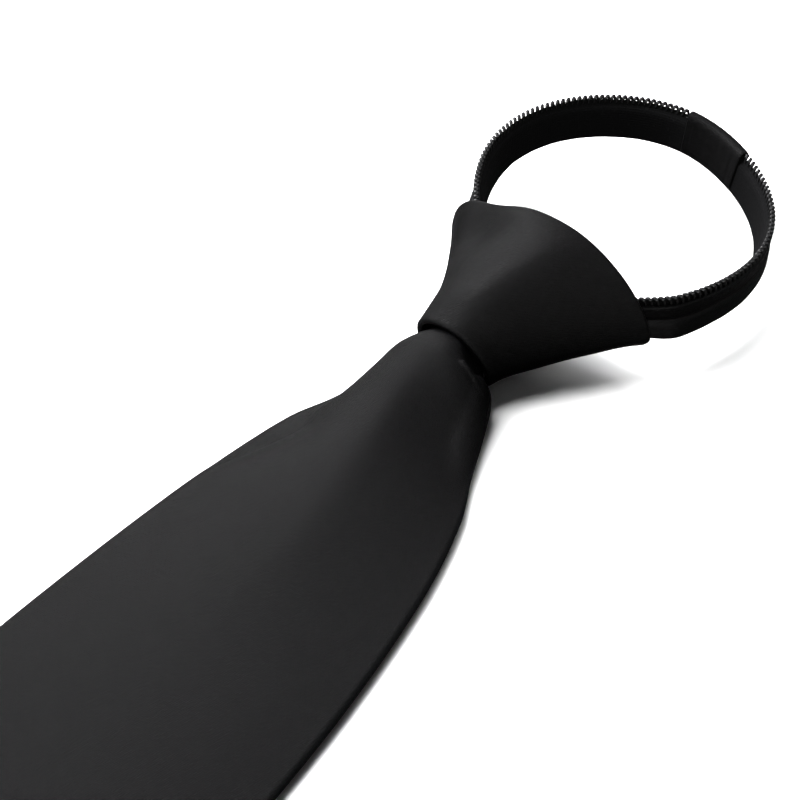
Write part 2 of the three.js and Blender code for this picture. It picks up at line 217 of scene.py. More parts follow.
def rolled_wall(start: float, end: float, rim: float, rows: int, rim_steps: int) -> tuple[Array, Array]:
    """Stations along a wall's outer face, over its far rim, back along its inner face and round its near rim.

    Args:
        start: the wall's first end.
        end: the wall's other end.
        rim: how much of each end its half-round rim takes.
        rows: stations along each face.
        rim_steps: stations round each rim.

    Returns:
        The stations, and how far each is drawn in: 0 on the outer face and 1 on the inner face.
    """
    face = np.linspace(start + rim, end - rim, rows)
    turn = np.linspace(0.0, math.pi, rim_steps + 2)[1:-1]
    over = rim * np.sin(turn)
    inwards = (1.0 - np.cos(turn)) / 2
    stations = np.concatenate([face, face[-1] + over, face[::-1], face[0] - over])
    return stations, np.concatenate([np.zeros(rows), inwards, np.ones(rows), 1.0 - inwards])


@dataclass(frozen=True)
class Mark:
    """A soft round hump, or a hollow if its height is below zero: a bell curve each way from its middle."""

    x: float
    y: float
    half_x: float
    half_y: float
    height: float

    def at(self, x: Array, y: Array) -> Array:
        """The mark's height at each point."""
        return self.height * bell(x, self.x, self.half_x) * bell(y, self.y, self.half_y)


@dataclass(frozen=True)
class Pleat:
    """A short raised crease along a sloping line through (x, y), faded in and out between places in x."""

    x: float
    y: float
    slope: float
    half_width: float
    height: float
    start: tuple[float, float]
    stop: tuple[float, float]

    def at(self, x: Array, y: Array) -> Array:
        """The pleat's height at each point.

        Args:
            x: places across.
            y: places along.

        Returns:
            The height, a bell curve across the line.
        """
        off = (x - self.x) * self.slope - (y - self.y)
        run = smoothstep(x, *self.start) * (1.0 - smoothstep(x, *self.stop))
        return self.height * bell(off, 0.0, self.half_width) * run


@dataclass(frozen=True)
class SectionTable:
    """Named sizes at stations along y, read between the rows by cubics that meet at the same slope."""

    columns: tuple[str, ...]
    rows: tuple[tuple[float, ...], ...]

    def at(self, name: str, y: Array | float) -> Array:
        """One column's smooth value.

        Args:
            name: the column.
            y: the stations where it is read.

        Returns:
            The column's value at each station, held beyond the first and last rows.
        """
        table = np.array(sorted(self.rows))
        stations = table[:, 0]
        values = table[:, self.columns.index(name)]
        after = np.append(np.arange(1, len(values)), len(values) - 1)
        before = np.append(0, np.arange(len(values) - 1))
        slopes = (values[after] - values[before]) / (stations[after] - stations[before])
        place = np.clip(np.asarray(y, float), stations[0], stations[-1])
        i = np.clip(np.searchsorted(stations, place, side="right") - 1, 0, len(values) - 2)
        span = stations[i + 1] - stations[i]
        t = (place - stations[i]) / span
        from_low = (2 * t**3 - 3 * t**2 + 1) * values[i] + (t**3 - 2 * t**2 + t) * span * slopes[i]
        to_high = (3 * t**2 - 2 * t**3) * values[i + 1] + (t**3 - t**2) * span * slopes[i + 1]
        return from_low + to_high


# The camera's eye in the tie's millimetres, and how far the tie stands off the floor along y
EYE = np.array([134.283, -192.120, 265.470])
LIFT = SectionTable(
    ("y", "rise"),
    (
        (-24.0, 0.0),
        (-8.0, 0.0),
        (3.0, 0.9),
        (15.0, 2.6),
        (26.0, 4.3),
        (37.4, 5.8),
        (50.0, 6.0),
        (65.0, 5.0),
        (82.0, 3.4),
        (102.0, 2.2),
    ),
)


def lifted(points: Array) -> Array:
    """Raises the knot's mouth and the neck loop off the floor, as they stand in the photograph.

    The shapes are laid out as if the whole tie lay on the floor. Each point then moves towards the camera's
    eye until it has risen by the lift at its y, so its place in the photograph stays the same.

    Args:
        points: points as laid out, in millimetres.

    Returns:
        The raised points.
    """
    rise = np.maximum(LIFT.at("rise", points[..., 1]), 0.0)
    share = rise / (EYE[2] - points[..., 2])
    return points + (EYE - points) * share[..., None]


@dataclass
class Surface:
    """A grid of points in the tie's millimetres, closed across, and along too where it is a wall.

    Attributes:
        points: rows x across x 3 points.
        closed_rows: whether the last row joins the first, as on a tube with a wall.
        capped: whether the first and last rows are filled by a fan from their middles.
    """

    points: Array
    closed_rows: bool = False
    capped: bool = False

    def faces(self) -> tuple[Array, Array]:
        """The quads of the grid, with each corner's place in the unrolled grid.

        Returns:
            The quads' point numbers, and their corners' row and column before wrapping.
        """
        rows, across = self.points.shape[:2]
        bands = rows if self.closed_rows else rows - 1
        i, j = np.meshgrid(np.arange(bands), np.arange(across), indexing="ij")
        corner_rows = np.stack([i, i, i + 1, i + 1], axis=-1).reshape(-1, 4)
        corner_columns = np.stack([j, j + 1, j + 1, j], axis=-1).reshape(-1, 4)
        quads = (corner_rows % rows) * across + corner_columns % across
        return quads, np.stack([corner_rows, corner_columns], axis=-1)

    def caps(self) -> tuple[Array, Array]:
        """The fans that fill the ends of a capped surface, and their two middle points.

        Returns:
            The fans' triangles, and the middles, which are numbered after the grid's points.
        """
        if not self.capped:
            return np.zeros((0, 3), int), np.zeros((0, 3))
        rows, across = self.points.shape[:2]
        j = np.arange(across)
        k = (j + 1) % across
        last = (rows - 1) * across
        middle = rows * across
        near = np.stack([np.full(across, middle), k, j], axis=1)
        far = np.stack([np.full(across, middle + 1), last + j, last + k], axis=1)
        return np.concatenate([near, far]), self.points[[0, -1]].mean(axis=1)

    def cloth_map(self) -> Array:
        """Distances over the surface in millimetres: round each row, and along the rows' mean line.

        Returns:
            (rows + 1) x (across + 1) x 2 distances, for the unrolled grid.
        """
        ring = np.concatenate([self.points, self.points[:, :1]], axis=1)
        steps = np.linalg.norm(np.diff(ring, axis=1), axis=2)
        around = np.concatenate([np.zeros((len(ring), 1)), np.cumsum(steps, axis=1)], axis=1)
        rows = np.concatenate([self.points, self.points[:1]], axis=0)
        travel = np.linalg.norm(np.diff(rows, axis=0), axis=2).mean(axis=1)
        along = np.concatenate([[0.0], np.cumsum(travel)])
        around = np.concatenate([around, around[:1]], axis=0)
        return np.stack([around, np.broadcast_to(along[:, None], around.shape)], axis=-1)


def looking(place: Array, ahead: Array, side: Array) -> Matrix:
    """Placement of a light or camera, which look along their own -Z with +X to the right.

    Args:
        place: where it stands, in metres.
        ahead: the direction that it looks in.
        side: the direction of its right, square to the first.

    Returns:
        The placement.
    """
    ahead = ahead / np.linalg.norm(ahead)
    side = side / np.linalg.norm(side)
    turned = np.stack([side, np.cross(side, ahead), -ahead], axis=1)
    return Matrix.Translation(place.tolist()) @ Matrix(turned.tolist()).to_4x4()


class Workshop:
    """Turns surfaces into Blender objects in the CAD part's frame."""

    def __init__(self) -> None:
        """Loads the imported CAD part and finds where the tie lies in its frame."""
        self.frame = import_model()
        self.cad_box = [list(corner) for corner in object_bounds()]
        self.shift = np.array([0.0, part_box("front_blade")[0].y / MM - BLADE_TIP_Y, 0.0])
        self.finishes: dict[Slot, bpy.types.Material] = {}

    def metres(self, points: Array) -> Array:
        """Points of the tie in metres of the part's frame."""
        return (np.asarray(points, float) + self.shift) * MM

    def make(self, name: str, surfaces: list[Surface], slot: Slot, *nodes: str) -> bpy.types.Object:
        """Builds one piece from its surfaces.

        Each surface's faces are turned outwards by the sign of its enclosed volume, which is the sum of
        a . (b x c) / 6 over its triangles.

        Args:
            name: the piece's name.
            surfaces: the surfaces that make it.
            slot: the material slot that it takes its finish from.
            *nodes: the CAD nodes that it stands for.

        Returns:
            The piece, riding on the part's body.
        """
        points, faces, corner_maps = [], [], []
        base = 0
        for surface in surfaces:
            quads, corners = surface.faces()
            maps = surface.cloth_map()[corners[..., 0], corners[..., 1]]
            fans, middles = surface.caps()
            at = np.concatenate([surface.points.reshape(-1, 3), middles])
            if self.enclosed(at, quads, fans) < 0.0:
                quads, maps, fans = quads[:, ::-1], maps[:, ::-1], fans[:, ::-1]
            points.append(at)
            faces += (quads + base).tolist() + (fans + base).tolist()
            corner_maps += [maps.reshape(-1, 2), np.zeros((fans.size, 2))]
            base += len(at)
        mesh = bpy.data.meshes.new(name)
        mesh.from_pydata(self.metres(lifted(np.concatenate(points))).tolist(), [], faces)
        mesh.uv_layers.new(name=CLOTH_MAP).data.foreach_set("uv", np.concatenate(corner_maps).ravel())
        mesh.polygons.foreach_set("use_smooth", np.ones(len(mesh.polygons), bool))
        mesh.update()
        mesh.materials.append(self.finishes[slot])
        piece = bpy.data.objects.new(name, mesh)
        bpy.context.scene.collection.objects.link(piece)
        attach(piece, BODY)
        if nodes:
            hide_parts(*nodes)
        LOG.info("%s: %d faces, stands for %s", name, len(faces), ", ".join(nodes) or "no node")
        return piece

    @staticmethod
    def enclosed(points: Array, quads: Array, fans: Array) -> float:
        """Volume that the faces enclose, below zero where they point inwards.

        Args:
            points: the surface's points.
            quads: its four-sided faces.
            fans: its three-sided faces.

        Returns:
            The volume in cubic millimetres.
        """
        triangles = np.concatenate([quads[:, [0, 1, 2]], quads[:, [0, 2, 3]], fans])
        a, b, c = (points[triangles[:, k]] for k in range(3))
        return float((a * np.cross(b, c)).sum() / 6.0)


def tube(path: Array, across: Array, radius: Array | float, sides: int) -> Surface:
    """Round tube along a path, with its first side turned towards a given direction.

    Each ring is path + radius (cos a side + sin a lift), where side is across less its part along the path,
    and lift is the cross product of the path's direction and side.

    Args:
        path: n x 3 points.
        across: n x 3 directions, none of them along the path.
        radius: the tube's radius, for all of the path or at each point.
        sides: how many corners each ring has.

    Returns:
        The tube, capped at both ends.
    """
    ahead = np.gradient(path, axis=0)
    ahead /= np.linalg.norm(ahead, axis=1, keepdims=True)
    side = across - ahead * (across * ahead).sum(axis=1, keepdims=True)
    side /= np.linalg.norm(side, axis=1, keepdims=True)
    lift = np.cross(ahead, side)
    angles = np.arange(sides) * math.tau / sides
    reach = np.broadcast_to(np.asarray(radius, float), (len(path),))[:, None, None]
    ring = np.cos(angles)[None, :, None] * side[:, None] + np.sin(angles)[None, :, None] * lift[:, None]
    return Surface(path[:, None] + reach * ring, capped=True)


@dataclass
class FrontBlade:
    """The wide padded blade: bunched at the knot, opening into a flat face, and pointed at its tip.

    Attributes:
        fold: thickness of the folded edges, in millimetres.
        widest: where the blade is widest and the tip begins.
        top_inside: how far its neck reaches into the knot.
        neck_end: where the close stations of the bunched neck end.
        face_power: how fast the stations spread below the neck.
        tip_half_width: half the blade's width at the very tip.
        tip_crown: how far the face stands above the folded edges at the tip.
        ridge_soft, ridge_power: roundness and slope of the straight-sided ridge under the knot.
        ridge_in, ridge_out: distances below the lip between which the ridge comes and goes.
        wing_power: how fast the wing falls from the crease to the edge.
        valley: roundness of the valley between the arch and the hump.
        stroke: the raised stroke on the crease, across from the crease.
        pocket: the hollow beside the hump under the knot's lip.
        pleat: the small pleat across the valley.
        calm_height, calm_wave: height and length of the slow waves of the flat face.
        lining_length, lining_slope: the V over the lining, from the tip, and half its width over its length.
        lining_hem: how far the lining stays from the blade's edges.
        least_wall: the least thickness between face and back.
    """

    fold: float = 2.8
    widest: float = -400.0
    top_inside: float = 15.0
    neck_end: float = -52.0
    face_power: float = 1.25
    tip_half_width: float = 0.8
    tip_crown: float = 0.2
    ridge_soft: float = 0.24
    ridge_power: float = 0.9
    ridge_in: tuple[float, float] = (2.0, 18.0)
    ridge_out: tuple[float, float] = (50.0, 95.0)
    wing_power: float = 0.85
    valley: float = 0.7
    stroke: Mark = Mark(x=-0.2, y=-21.0, half_x=0.9, half_y=4.2, height=0.9)
    pocket: Mark = Mark(x=3.9, y=3.6, half_x=2.0, half_y=2.2, height=-3.0)
    pleat: Pleat = Pleat(2.3, -0.3, 0.05, half_width=0.6, height=1.1, start=(2.7, 4.0), stop=(6.4, 8.2))
    calm_height: float = 0.22
    calm_wave: float = 150.0
    lining_length: float = 95.0
    lining_slope: float = 0.34
    lining_hem: float = 9.0
    least_wall: float = 0.9
    neck_stations: int = 190
    face_stations: int = 130
    tip_stations: int = 34
    steps_over: int = 124
    steps_back: int = 46
    steps_roll: int = 7
    sections: SectionTable = SectionTable(
        ("y", "left", "right", "base", "crest", "top", "round", "under"),
        (
            (15, -10.2, 3.0, 2.4, -3.6, 13.4, 0.5, 5.7),
            (7, -10.8, 4.4, 2.2, -3.6, 14.4, 0.5, 5.6),
            (5, -11.2, 6.4, 2.2, -2.6, 14.9, 0.5, 5.6),
            (2.2, -12.4, 9.4, 1.8, -2.0, 16.4, 0.5, 5.4),
            (-1.5, -14.2, 11.2, 1.2, -2.6, 16.4, 0.51, 5.2),
            (-6, -15.3, 13.1, 0.6, -3.6, 15.2, 0.55, 4.4),
            (-10, -16.1, 14.8, 0.2, -3.7, 14.1, 0.6, 3.8),
            (-16, -17.9, 17.5, 0, -3.6, 12.4, 0.72, 3.3),
            (-26, -22.3, 22.2, 0, -2.9, 10.6, 0.88, 3.4),
            (-45, -26.4, 27.0, 0, -0.6, 8.8, 1.0, 3.6),
            (-75, -30.1, 30.7, 0, -0.2, 6.6, 1.0, 3.2),
            (-110, -32.6, 32.2, 0, 0, 5.5, 1.0, 2.8),
            (-200, -35.2, 35.4, 0, 0, 5.2, 1.0, 2.6),
            (-300, -37.6, 37.8, 0, 0, 4.8, 1.0, 2.1),
            (-400, -40, 40, 0, 0, 4.4, 1.0, 1.5),
        ),
    )
    folds: SectionTable = SectionTable(
        ("y", "crease", "wing", "shoulder", "hump_x", "hump_half", "hump_top"),
        (
            (15, -10.2, 0.0, 3.0, 1.0, 2.0, 4.0),
            (7, -10.8, 0.0, 4.2, 2.0, 2.4, 7.2),
            (5, -11.2, 0.0, 4.8, 3.1, 3.4, 9.4),
            (2.2, -12.4, 0.0, 6.6, 4.7, 4.8, 10.9),
            (-1.5, -14.2, 0.0, 8.8, 5.9, 5.4, 10.9),
            (-6, -14.9, 0.2, 11.8, 7.9, 5.6, 9.6),
            (-10, -15.4, 0.9, 14.1, 9.5, 5.9, 8.0),
            (-16, -16.0, 2.0, 17.5, 11.5, 6.6, 5.6),
            (-22, -16.2, 2.5, 20.3, 13.0, 7.0, 3.6),
            (-28, -16.8, 1.9, 22.8, 14.0, 7.0, 2.0),
            (-35, -20.5, 0.5, 24.8, 15.0, 7.0, 0.0),
            (-50, -27.0, 0.0, 27.4, 15.0, 7.0, 0.0),
            (-75, -30.1, 0.0, 30.7, 15.0, 7.0, 0.0),
            (-110, -32.6, 0.0, 32.2, 15.0, 7.0, 0.0),
            (-200, -35.2, 0.0, 35.4, 15.0, 7.0, 0.0),
            (-300, -37.6, 0.0, 37.8, 15.0, 7.0, 0.0),
            (-400, -40.0, 0.0, 40.0, 15.0, 7.0, 0.0),
        ),
    )

    def stations(self) -> Array:
        """The sections' places along y, closest together where the cloth is bunched.

        Returns:
            The stations, from inside the knot to the tip.
        """
        neck = np.linspace(self.top_inside, self.neck_end, self.neck_stations)
        share = np.linspace(0.0, 1.0, self.face_stations)[1:]
        face = self.neck_end + (self.widest - self.neck_end) * share**self.face_power
        tip = np.linspace(self.widest, BLADE_TIP_Y, self.tip_stations)[1:]
        return np.concatenate([neck, face, tip])

    def outline(self, y: Array) -> dict[str, Array]:
        """The sections' sizes, drawn in to the tip's point beyond the widest place.

        Args:
            y: the stations.

        Returns:
            Each column's value at the stations.
        """
        held = np.maximum(y, self.widest)
        size = {name: self.sections.at(name, held) for name in self.sections.columns[1:]}
        taper = np.clip((y - BLADE_TIP_Y) / (self.widest - BLADE_TIP_Y), 0.0, 1.0)
        size["left"] = np.minimum(size["left"] * taper, -self.tip_half_width)
        size["right"] = np.maximum(size["right"] * taper, self.tip_half_width)
        low_top = self.fold + self.tip_crown
        size["top"] = low_top + (size["top"] - low_top) * taper
        size["under"] = size["under"] * taper
        return size

    def height(self, x: Array, y: Array, size: dict[str, Array]) -> Array:
        """Height of the blade's face.

        An arch (1 - share^2)^round from the folded edges to the crest, where share is the distance from the
        crest over its reach. On the left the arch ends at a crease near the neck, with a raised wing of cloth
        beyond it. Right of the crest and below the lip, the arch's side is nearly straight. There a lower
        hump of gathered cloth joins it in a rounded valley, with a pocket beside the hump and a small pleat
        across the valley, both near the knot's lip.

        Args:
            x: places across, one row per station.
            y: the stations, as a column.
            size: the sections' sizes, as columns.

        Returns:
            The height at each point.
        """
        edge = size["base"] + self.fold
        fold = {name: self.folds.at(name, y) for name in self.folds.columns[1:]}
        crease = np.maximum(fold["crease"], size["left"])
        shoulder = np.minimum(fold["shoulder"], size["right"])
        reach = np.where(x < size["crest"], size["crest"] - crease, shoulder - size["crest"])
        share = np.clip(np.abs(x - size["crest"]) / reach, 0.0, 1.0)
        wing_share = np.clip((crease - x) / np.maximum(crease - size["left"], 0.01), 0.0, 1.0)
        foot = edge + fold["wing"] * (x < size["crest"])
        arch = (1.0 - share**2) ** size["round"]
        soft = self.ridge_soft
        slope = (np.hypot(share, soft) - soft) / (math.hypot(1.0, soft) - soft)
        roof = 1.0 - slope**self.ridge_power
        right_side = x > size["crest"]
        bent = smoothstep(-y, *self.ridge_in) * (1.0 - smoothstep(-y, *self.ridge_out)) * right_side
        arch = foot + (size["top"] - foot) * (arch + (roof - arch) * bent)
        wing = edge + fold["wing"] * (1.0 - wing_share) ** self.wing_power
        high = np.where(x < crease, wing, arch) + self.stroke.at(x - crease, y)
        off_hump = (x - fold["hump_x"]) / fold["hump_half"]
        hump = fold["hump_top"] * np.clip(1.0 - off_hump**2, 0.0, 1.0) ** 0.5
        high = soft_max(high, np.maximum(hump, edge * right_side), self.valley)
        high = high + self.pocket.at(x, y) + self.pleat.at(x, y)
        calm = self.calm_height * ripple(x, y, 3, self.calm_wave, 1) * smoothstep(-y, 40.0, 140.0)
        return high + calm * (1.0 - share**4)

    def underside(self, x: Array, y: Array, size: dict[str, Array]) -> Array:
        """Height of the blade's back: hollow in the middle and down on the floor at the folded edges.

        The hollow is 1 - share^6 of its depth. The two turned-in halves of the cloth meet at a seam down the
        middle, where the left one lies over the right one, and near the tip they open in a V over the lining.

        Args:
            x: places across, one row per station.
            y: the stations, as a column.
            size: the sections' sizes, as columns.

        Returns:
            The height at each point.
        """
        reach = np.where(x < size["crest"], size["crest"] - size["left"], size["right"] - size["crest"])
        share = np.clip(np.abs(x - size["crest"]) / reach, 0.0, 1.0)
        hollow = size["base"] + (size["under"] - size["base"]) * (1.0 - share**6)
        turned = smoothstep(-y, 20.0, 40.0)
        seam = -0.45 * turned * (1.0 - smoothstep(x, 1.0, 1.5)) * (1.0 - share**2)
        groove = 0.5 * turned * bell(x, 1.3, 0.5)
        lining_top = BLADE_TIP_Y + self.lining_length
        opening = (lining_top - y) * self.lining_slope
        hem = np.minimum(np.abs(x - size["left"]), np.abs(size["right"] - x))
        inside_hem = smoothstep(hem, self.lining_hem, self.lining_hem + 0.8)
        lining = smoothstep(opening - np.abs(x), 0.0, 0.8) * inside_hem
        return hollow + (seam + groove) * (1.0 - lining) + 0.7 * lining * (y < lining_top)

    @staticmethod
    def across(share: Array, crest: Array, left: Array, right: Array) -> Array:
        """Places across the blade: the left end at a share of -1, the crest at 0 and the right end at 1."""
        return crest + share * np.where(share < 0.0, crest - left, right - crest)

    def surface(self) -> Surface:
        """The blade's closed skin: over the face, round the right fold, along the back, round the left fold.

        Returns:
            The skin, capped inside the knot and at the tip.
        """
        y = self.stations()[:, None]
        size = self.outline(y)
        flat_share = smoothstep(size["round"], 0.55, 0.9)
        roll = np.minimum(1.25 * flat_share + 0.02, (size["right"] - size["left"]) * 0.25)
        over = -np.cos(np.linspace(0.0, math.pi, self.steps_over))[None]
        left = size["left"] + roll
        right = size["right"] - roll
        x_over = self.across(over, size["crest"], left, right)
        top = self.height(x_over, y, size)
        back = np.linspace(1.0, -1.0, self.steps_back)[None]
        x_back = self.across(back, size["crest"], left, right)
        ceiling = np.maximum(self.height(x_back, y, size) - self.least_wall, size["base"])
        low = np.minimum(self.underside(x_back, y, size), ceiling)
        turn = np.linspace(0.0, math.pi, self.steps_roll + 2)[None, 1:-1]
        bulge, swing = roll * np.sin(turn), np.cos(turn)
        right_fold = between(top[:, -1:], low[:, :1], swing)
        left_fold = between(low[:, -1:], top[:, :1], swing)
        x = np.concatenate([x_over, right + bulge, x_back, left - bulge], axis=1)
        z = np.concatenate([top, right_fold, low, left_fold], axis=1)
        return Surface(np.stack([x, np.broadcast_to(y, x.shape), np.maximum(z, 0.02)], axis=-1), capped=True)

    def build(self, shop: Workshop) -> None:
        blade = shop.make("blade_cloth", [self.surface()], Slot.SATIN, "front_blade")


@dataclass
class Knot:
    """The wrapped knot: a hollow padded trapezoid with rolled edges at its lip and at its mouth.

    Attributes:
        flat_share: the flat back's share of the knot's width.
        full_left, full_right: powers of the front's arch, below 1 for a full side and above 1 for a slack.
        full_mouth: how much fuller the left side gets at the mouth.
        rim: how much of the knot's length each rolled edge takes.
        dip: the shallow dip at the upper left.
        swell_height, swell_half: height and half width of the low swell.
        swell_x, swell_lean: the swell's place at the lip, and how far it moves right by the mouth.
    """

    flat_share: float = 0.78
    full_left: float = 0.78
    full_right: float = 1.32
    full_mouth: float = 0.12
    rim: float = 0.85
    dip: Mark = Mark(x=-15.4, y=30.0, half_x=6.4, half_y=8.0, height=-4.8)
    swell_height: float = 1.1
    swell_half: float = 7.0
    swell_x: float = -5.6
    swell_lean: float = 16.0
    rows: int = 120
    rim_steps: int = 7
    steps_over: int = 190
    steps_corner: int = 10
    steps_back: int = 26
    sections: SectionTable = SectionTable(
        ("y", "left", "right", "crown", "side", "wall", "slant"),
        (
            (3.2, -12.7, 6.0, 16.9, 6.0, 1.4, 4.5),
            (8, -13.4, 7.4, 18.4, 5.6, 1.8, 3.6),
            (15, -15.0, 11.1, 20.2, 5.0, 2.0, 2.4),
            (22, -18.0, 15.2, 21.8, 4.6, 2.1, 1.4),
            (29, -21.6, 19.8, 23.2, 4.2, 2.1, 0.6),
            (34, -24.4, 23.4, 24.2, 4.0, 2.0, 0.2),
            (KNOT_MOUTH_Y, -26.7, 26.6, 24.6, 3.8, 1.8, 0.0),
        ),
    )

    def ring(self, y: Array, inset: Array) -> Array:
        """Sections of the knot, each drawn in by its own inset along the section's normal.

        The front rises as side + (crown - side) sin(angle)^full, with full changing from right to left. The
        corners are quarter circles down to the flat back. A shallow dip lies at the upper left, and a low
        swell runs from the middle of the mouth down to the left of the lip.

        Args:
            y: the sections' stations.
            inset: each section's distance inwards, in millimetres.

        Returns:
            stations x points x 3 points of the rings.
        """
        y = y[:, None]
        size = {name: self.sections.at(name, y) for name in self.sections.columns[1:]}
        middle = (size["left"] + size["right"]) / 2
        half = (size["right"] - size["left"]) / 2
        angle = np.linspace(0.0, math.pi, self.steps_over)[None]
        lean = smoothstep(angle, math.pi * 0.3, math.pi * 0.7)
        lip_y = self.sections.rows[0][0]
        along = (y - lip_y) / (KNOT_MOUTH_Y - lip_y)
        near_mouth = smoothstep(along, 0.7, 1.0)
        full_left = self.full_left - self.full_mouth * near_mouth
        full = self.full_right + (full_left - self.full_right) * lean
        rise = np.clip(np.sin(angle), 0.0, 1.0) ** full
        over_x = middle + half * np.cos(angle)
        over_z = size["side"] + (size["crown"] - size["side"]) * rise
        swell_line = self.swell_x + self.swell_lean * along
        swell = bell(over_x - swell_line, 0.0, self.swell_half) * smoothstep(along, 0.02, 0.3)
        shaping = self.dip.at(over_x, y) + self.swell_height * swell * (1.0 - near_mouth)
        over_z = over_z + shaping * rise
        flat = half * self.flat_share
        corner = half - flat
        down = np.linspace(0.0, math.pi / 2, self.steps_corner + 1)[None, 1:]
        left_x = middle - flat - corner * np.cos(down)
        left_z = size["side"] * (1.0 - np.sin(down))
        back = np.linspace(-1.0, 1.0, self.steps_back + 2)[None, 1:-1]
        back_x = middle + flat * back
        right_x = middle + flat + corner * np.cos(down[:, ::-1])
        right_z = size["side"] * (1.0 - np.sin(down[:, ::-1]))
        x = np.concatenate([over_x, left_x, back_x, right_x], axis=1)
        z = np.concatenate([over_z, left_z, np.zeros_like(back_x), right_z], axis=1)
        section = np.stack([x, z], axis=-1)
        ahead = np.roll(section, -1, axis=1) - np.roll(section, 1, axis=1)
        ahead /= np.linalg.norm(ahead, axis=-1, keepdims=True)
        inwards = np.stack([-ahead[..., 1], ahead[..., 0]], axis=-1)
        section = section + inwards * inset[:, None, None]
        slanted = y + size["slant"] * (1.0 - section[..., 1] / size["crown"])
        return np.stack([section[..., 0], slanted, section[..., 1]], axis=-1)

    def surface(self) -> Surface:
        """The knot's wall: up the outside, over the rolled mouth, down the inside and round the rolled lip.

        Returns:
            The wall.
        """
        lip_y = self.sections.rows[0][0]
        y, inset = rolled_wall(lip_y, KNOT_MOUTH_Y, self.rim, self.rows, self.rim_steps)
        return Surface(self.ring(y, inset * self.sections.at("wall", y)), closed_rows=True)

    def build(self, shop: Workshop) -> None:
        knot = shop.make("knot_wrap", [self.surface()], Slot.SATIN, "knot")


@dataclass
class NeckLine:
    """The line of the coil round the neck loop, with the directions of the band that hangs from it."""

    centre: tuple[float, float] = (1.1, 65.0)
    top: float = 13.4
    half_width: float = 31.2
    half_length: float = 35.6
    skew: float = -1.6
    square_x: float = 1.85
    egg: float = 2.6
    square_y: float = 0.5
    yaw: float = math.radians(3.85)
    side_slope: float = -0.04
    wave: float = -0.4
    height: float = 11.2
    height_in_knot: float = 8.6
    lean_far: float = -10.3
    lean_near: dict[str, float] = field(default_factory=lambda: {"right": 21.0, "left": 6.0})
    flare_near: dict[str, float] = field(default_factory=lambda: {"right": 0.2, "left": 2.8})
    lean_fade: float = 15.0
    tuck: tuple[float, float] = (33.0, 45.0)
    tuck_in: float = 4.6
    tuck_down: float = 1.2

    def flat(self, angle: Array) -> Array:
        """The line seen from above, about its centre: an oval shaped by waves of two and three to a turn.

        Args:
            angle: angles round the loop, in radians.

        Returns:
            The places in x and y.
        """
        across = self.half_width * np.cos(angle) + self.square_x * np.cos(3 * angle)
        across += self.skew * np.sin(2 * angle)
        along = self.half_length * np.sin(angle) + self.square_y * np.sin(3 * angle)
        along += self.egg * np.cos(2 * angle)
        c, s = math.cos(self.yaw), math.sin(self.yaw)
        return np.stack([c * across - s * along, s * across + c * along], axis=-1)

    def at(self, angle: Array) -> dict[str, Array]:
        """The line and the band's directions.

        Args:
            angle: angles round the loop, in radians.

        Returns:
            top, the line's points; down and away, the band's unit directions; scale, the band's height there
            over its full height; and flare, how far its lower edge stands out.
        """
        here = self.flat(angle)
        step = 1e-3
        ahead = self.flat(angle + step) - self.flat(angle - step)
        ahead /= np.linalg.norm(ahead, axis=-1, keepdims=True)
        out = np.stack([ahead[:, 1], -ahead[:, 0], np.zeros(len(ahead))], axis=-1)
        y = self.centre[1] + here[:, 1]
        tuck = 1.0 - smoothstep(y, *self.tuck)
        right = here[:, 0] > 0.0
        pulled = tuck * right
        inwards = self.tuck_in * pulled * smoothstep(here[:, 0], 0.0, 4 * self.tuck_in)
        x = self.centre[0] + here[:, 0] - inwards
        z = self.top + self.side_slope * here[:, 0] + self.wave * np.sin(2 * angle) - self.tuck_down * pulled
        top = np.stack([x, y, z], axis=-1)
        near = np.exp(-np.maximum(y - KNOT_MOUTH_Y, 0.0) / self.lean_fade)
        more = np.where(right, self.lean_near["right"], self.lean_near["left"])
        lean = np.radians(self.lean_far + more * near) * (1.0 - tuck)
        up = np.array([0.0, 0.0, 1.0])
        down = out * np.sin(lean)[:, None] - up * np.cos(lean)[:, None]
        away = out * np.cos(lean)[:, None] + up * np.sin(lean)[:, None]
        scale = (self.height + (self.height_in_knot - self.height) * tuck) / self.height
        flare = np.where(right, self.flare_near["right"], self.flare_near["left"]) * near * (1.0 - tuck)
        return {"top": top, "down": down, "away": away, "scale": scale, "flare": flare}

    def evenly(self, start: float, end: float, spacing: float) -> tuple[Array, Array]:
        """Angles at even distances along the line.

        Args:
            start: first angle.
            end: last angle.
            spacing: distance between neighbours, in millimetres.

        Returns:
            The angles, and the distance of each along the line.
        """
        fine = np.linspace(start, end, 4000)
        points = self.at(fine)["top"]
        travelled = np.concatenate([[0.0], np.cumsum(np.linalg.norm(np.diff(points, axis=0), axis=1))])
        count = max(int(round(travelled[-1] / spacing)), 2) + 1
        distance = np.linspace(0.0, travelled[-1], count)
        return np.interp(distance, travelled, fine), distance

    def carry(self, angles: Array, drop: Array, out: Array) -> Array:
        """Points at given drops below and distances outside the line.

        Args:
            angles: n angles.
            drop: n x m drops, before the band's scale.
            out: n x m distances outwards.

        Returns:
            n x m x 3 points.
        """
        place = self.at(angles)
        fall = (drop * place["scale"][:, None])[..., None]
        top, down, away = (place[name][:, None] for name in ("top", "down", "away"))
        return top + down * fall + away * out[..., None]


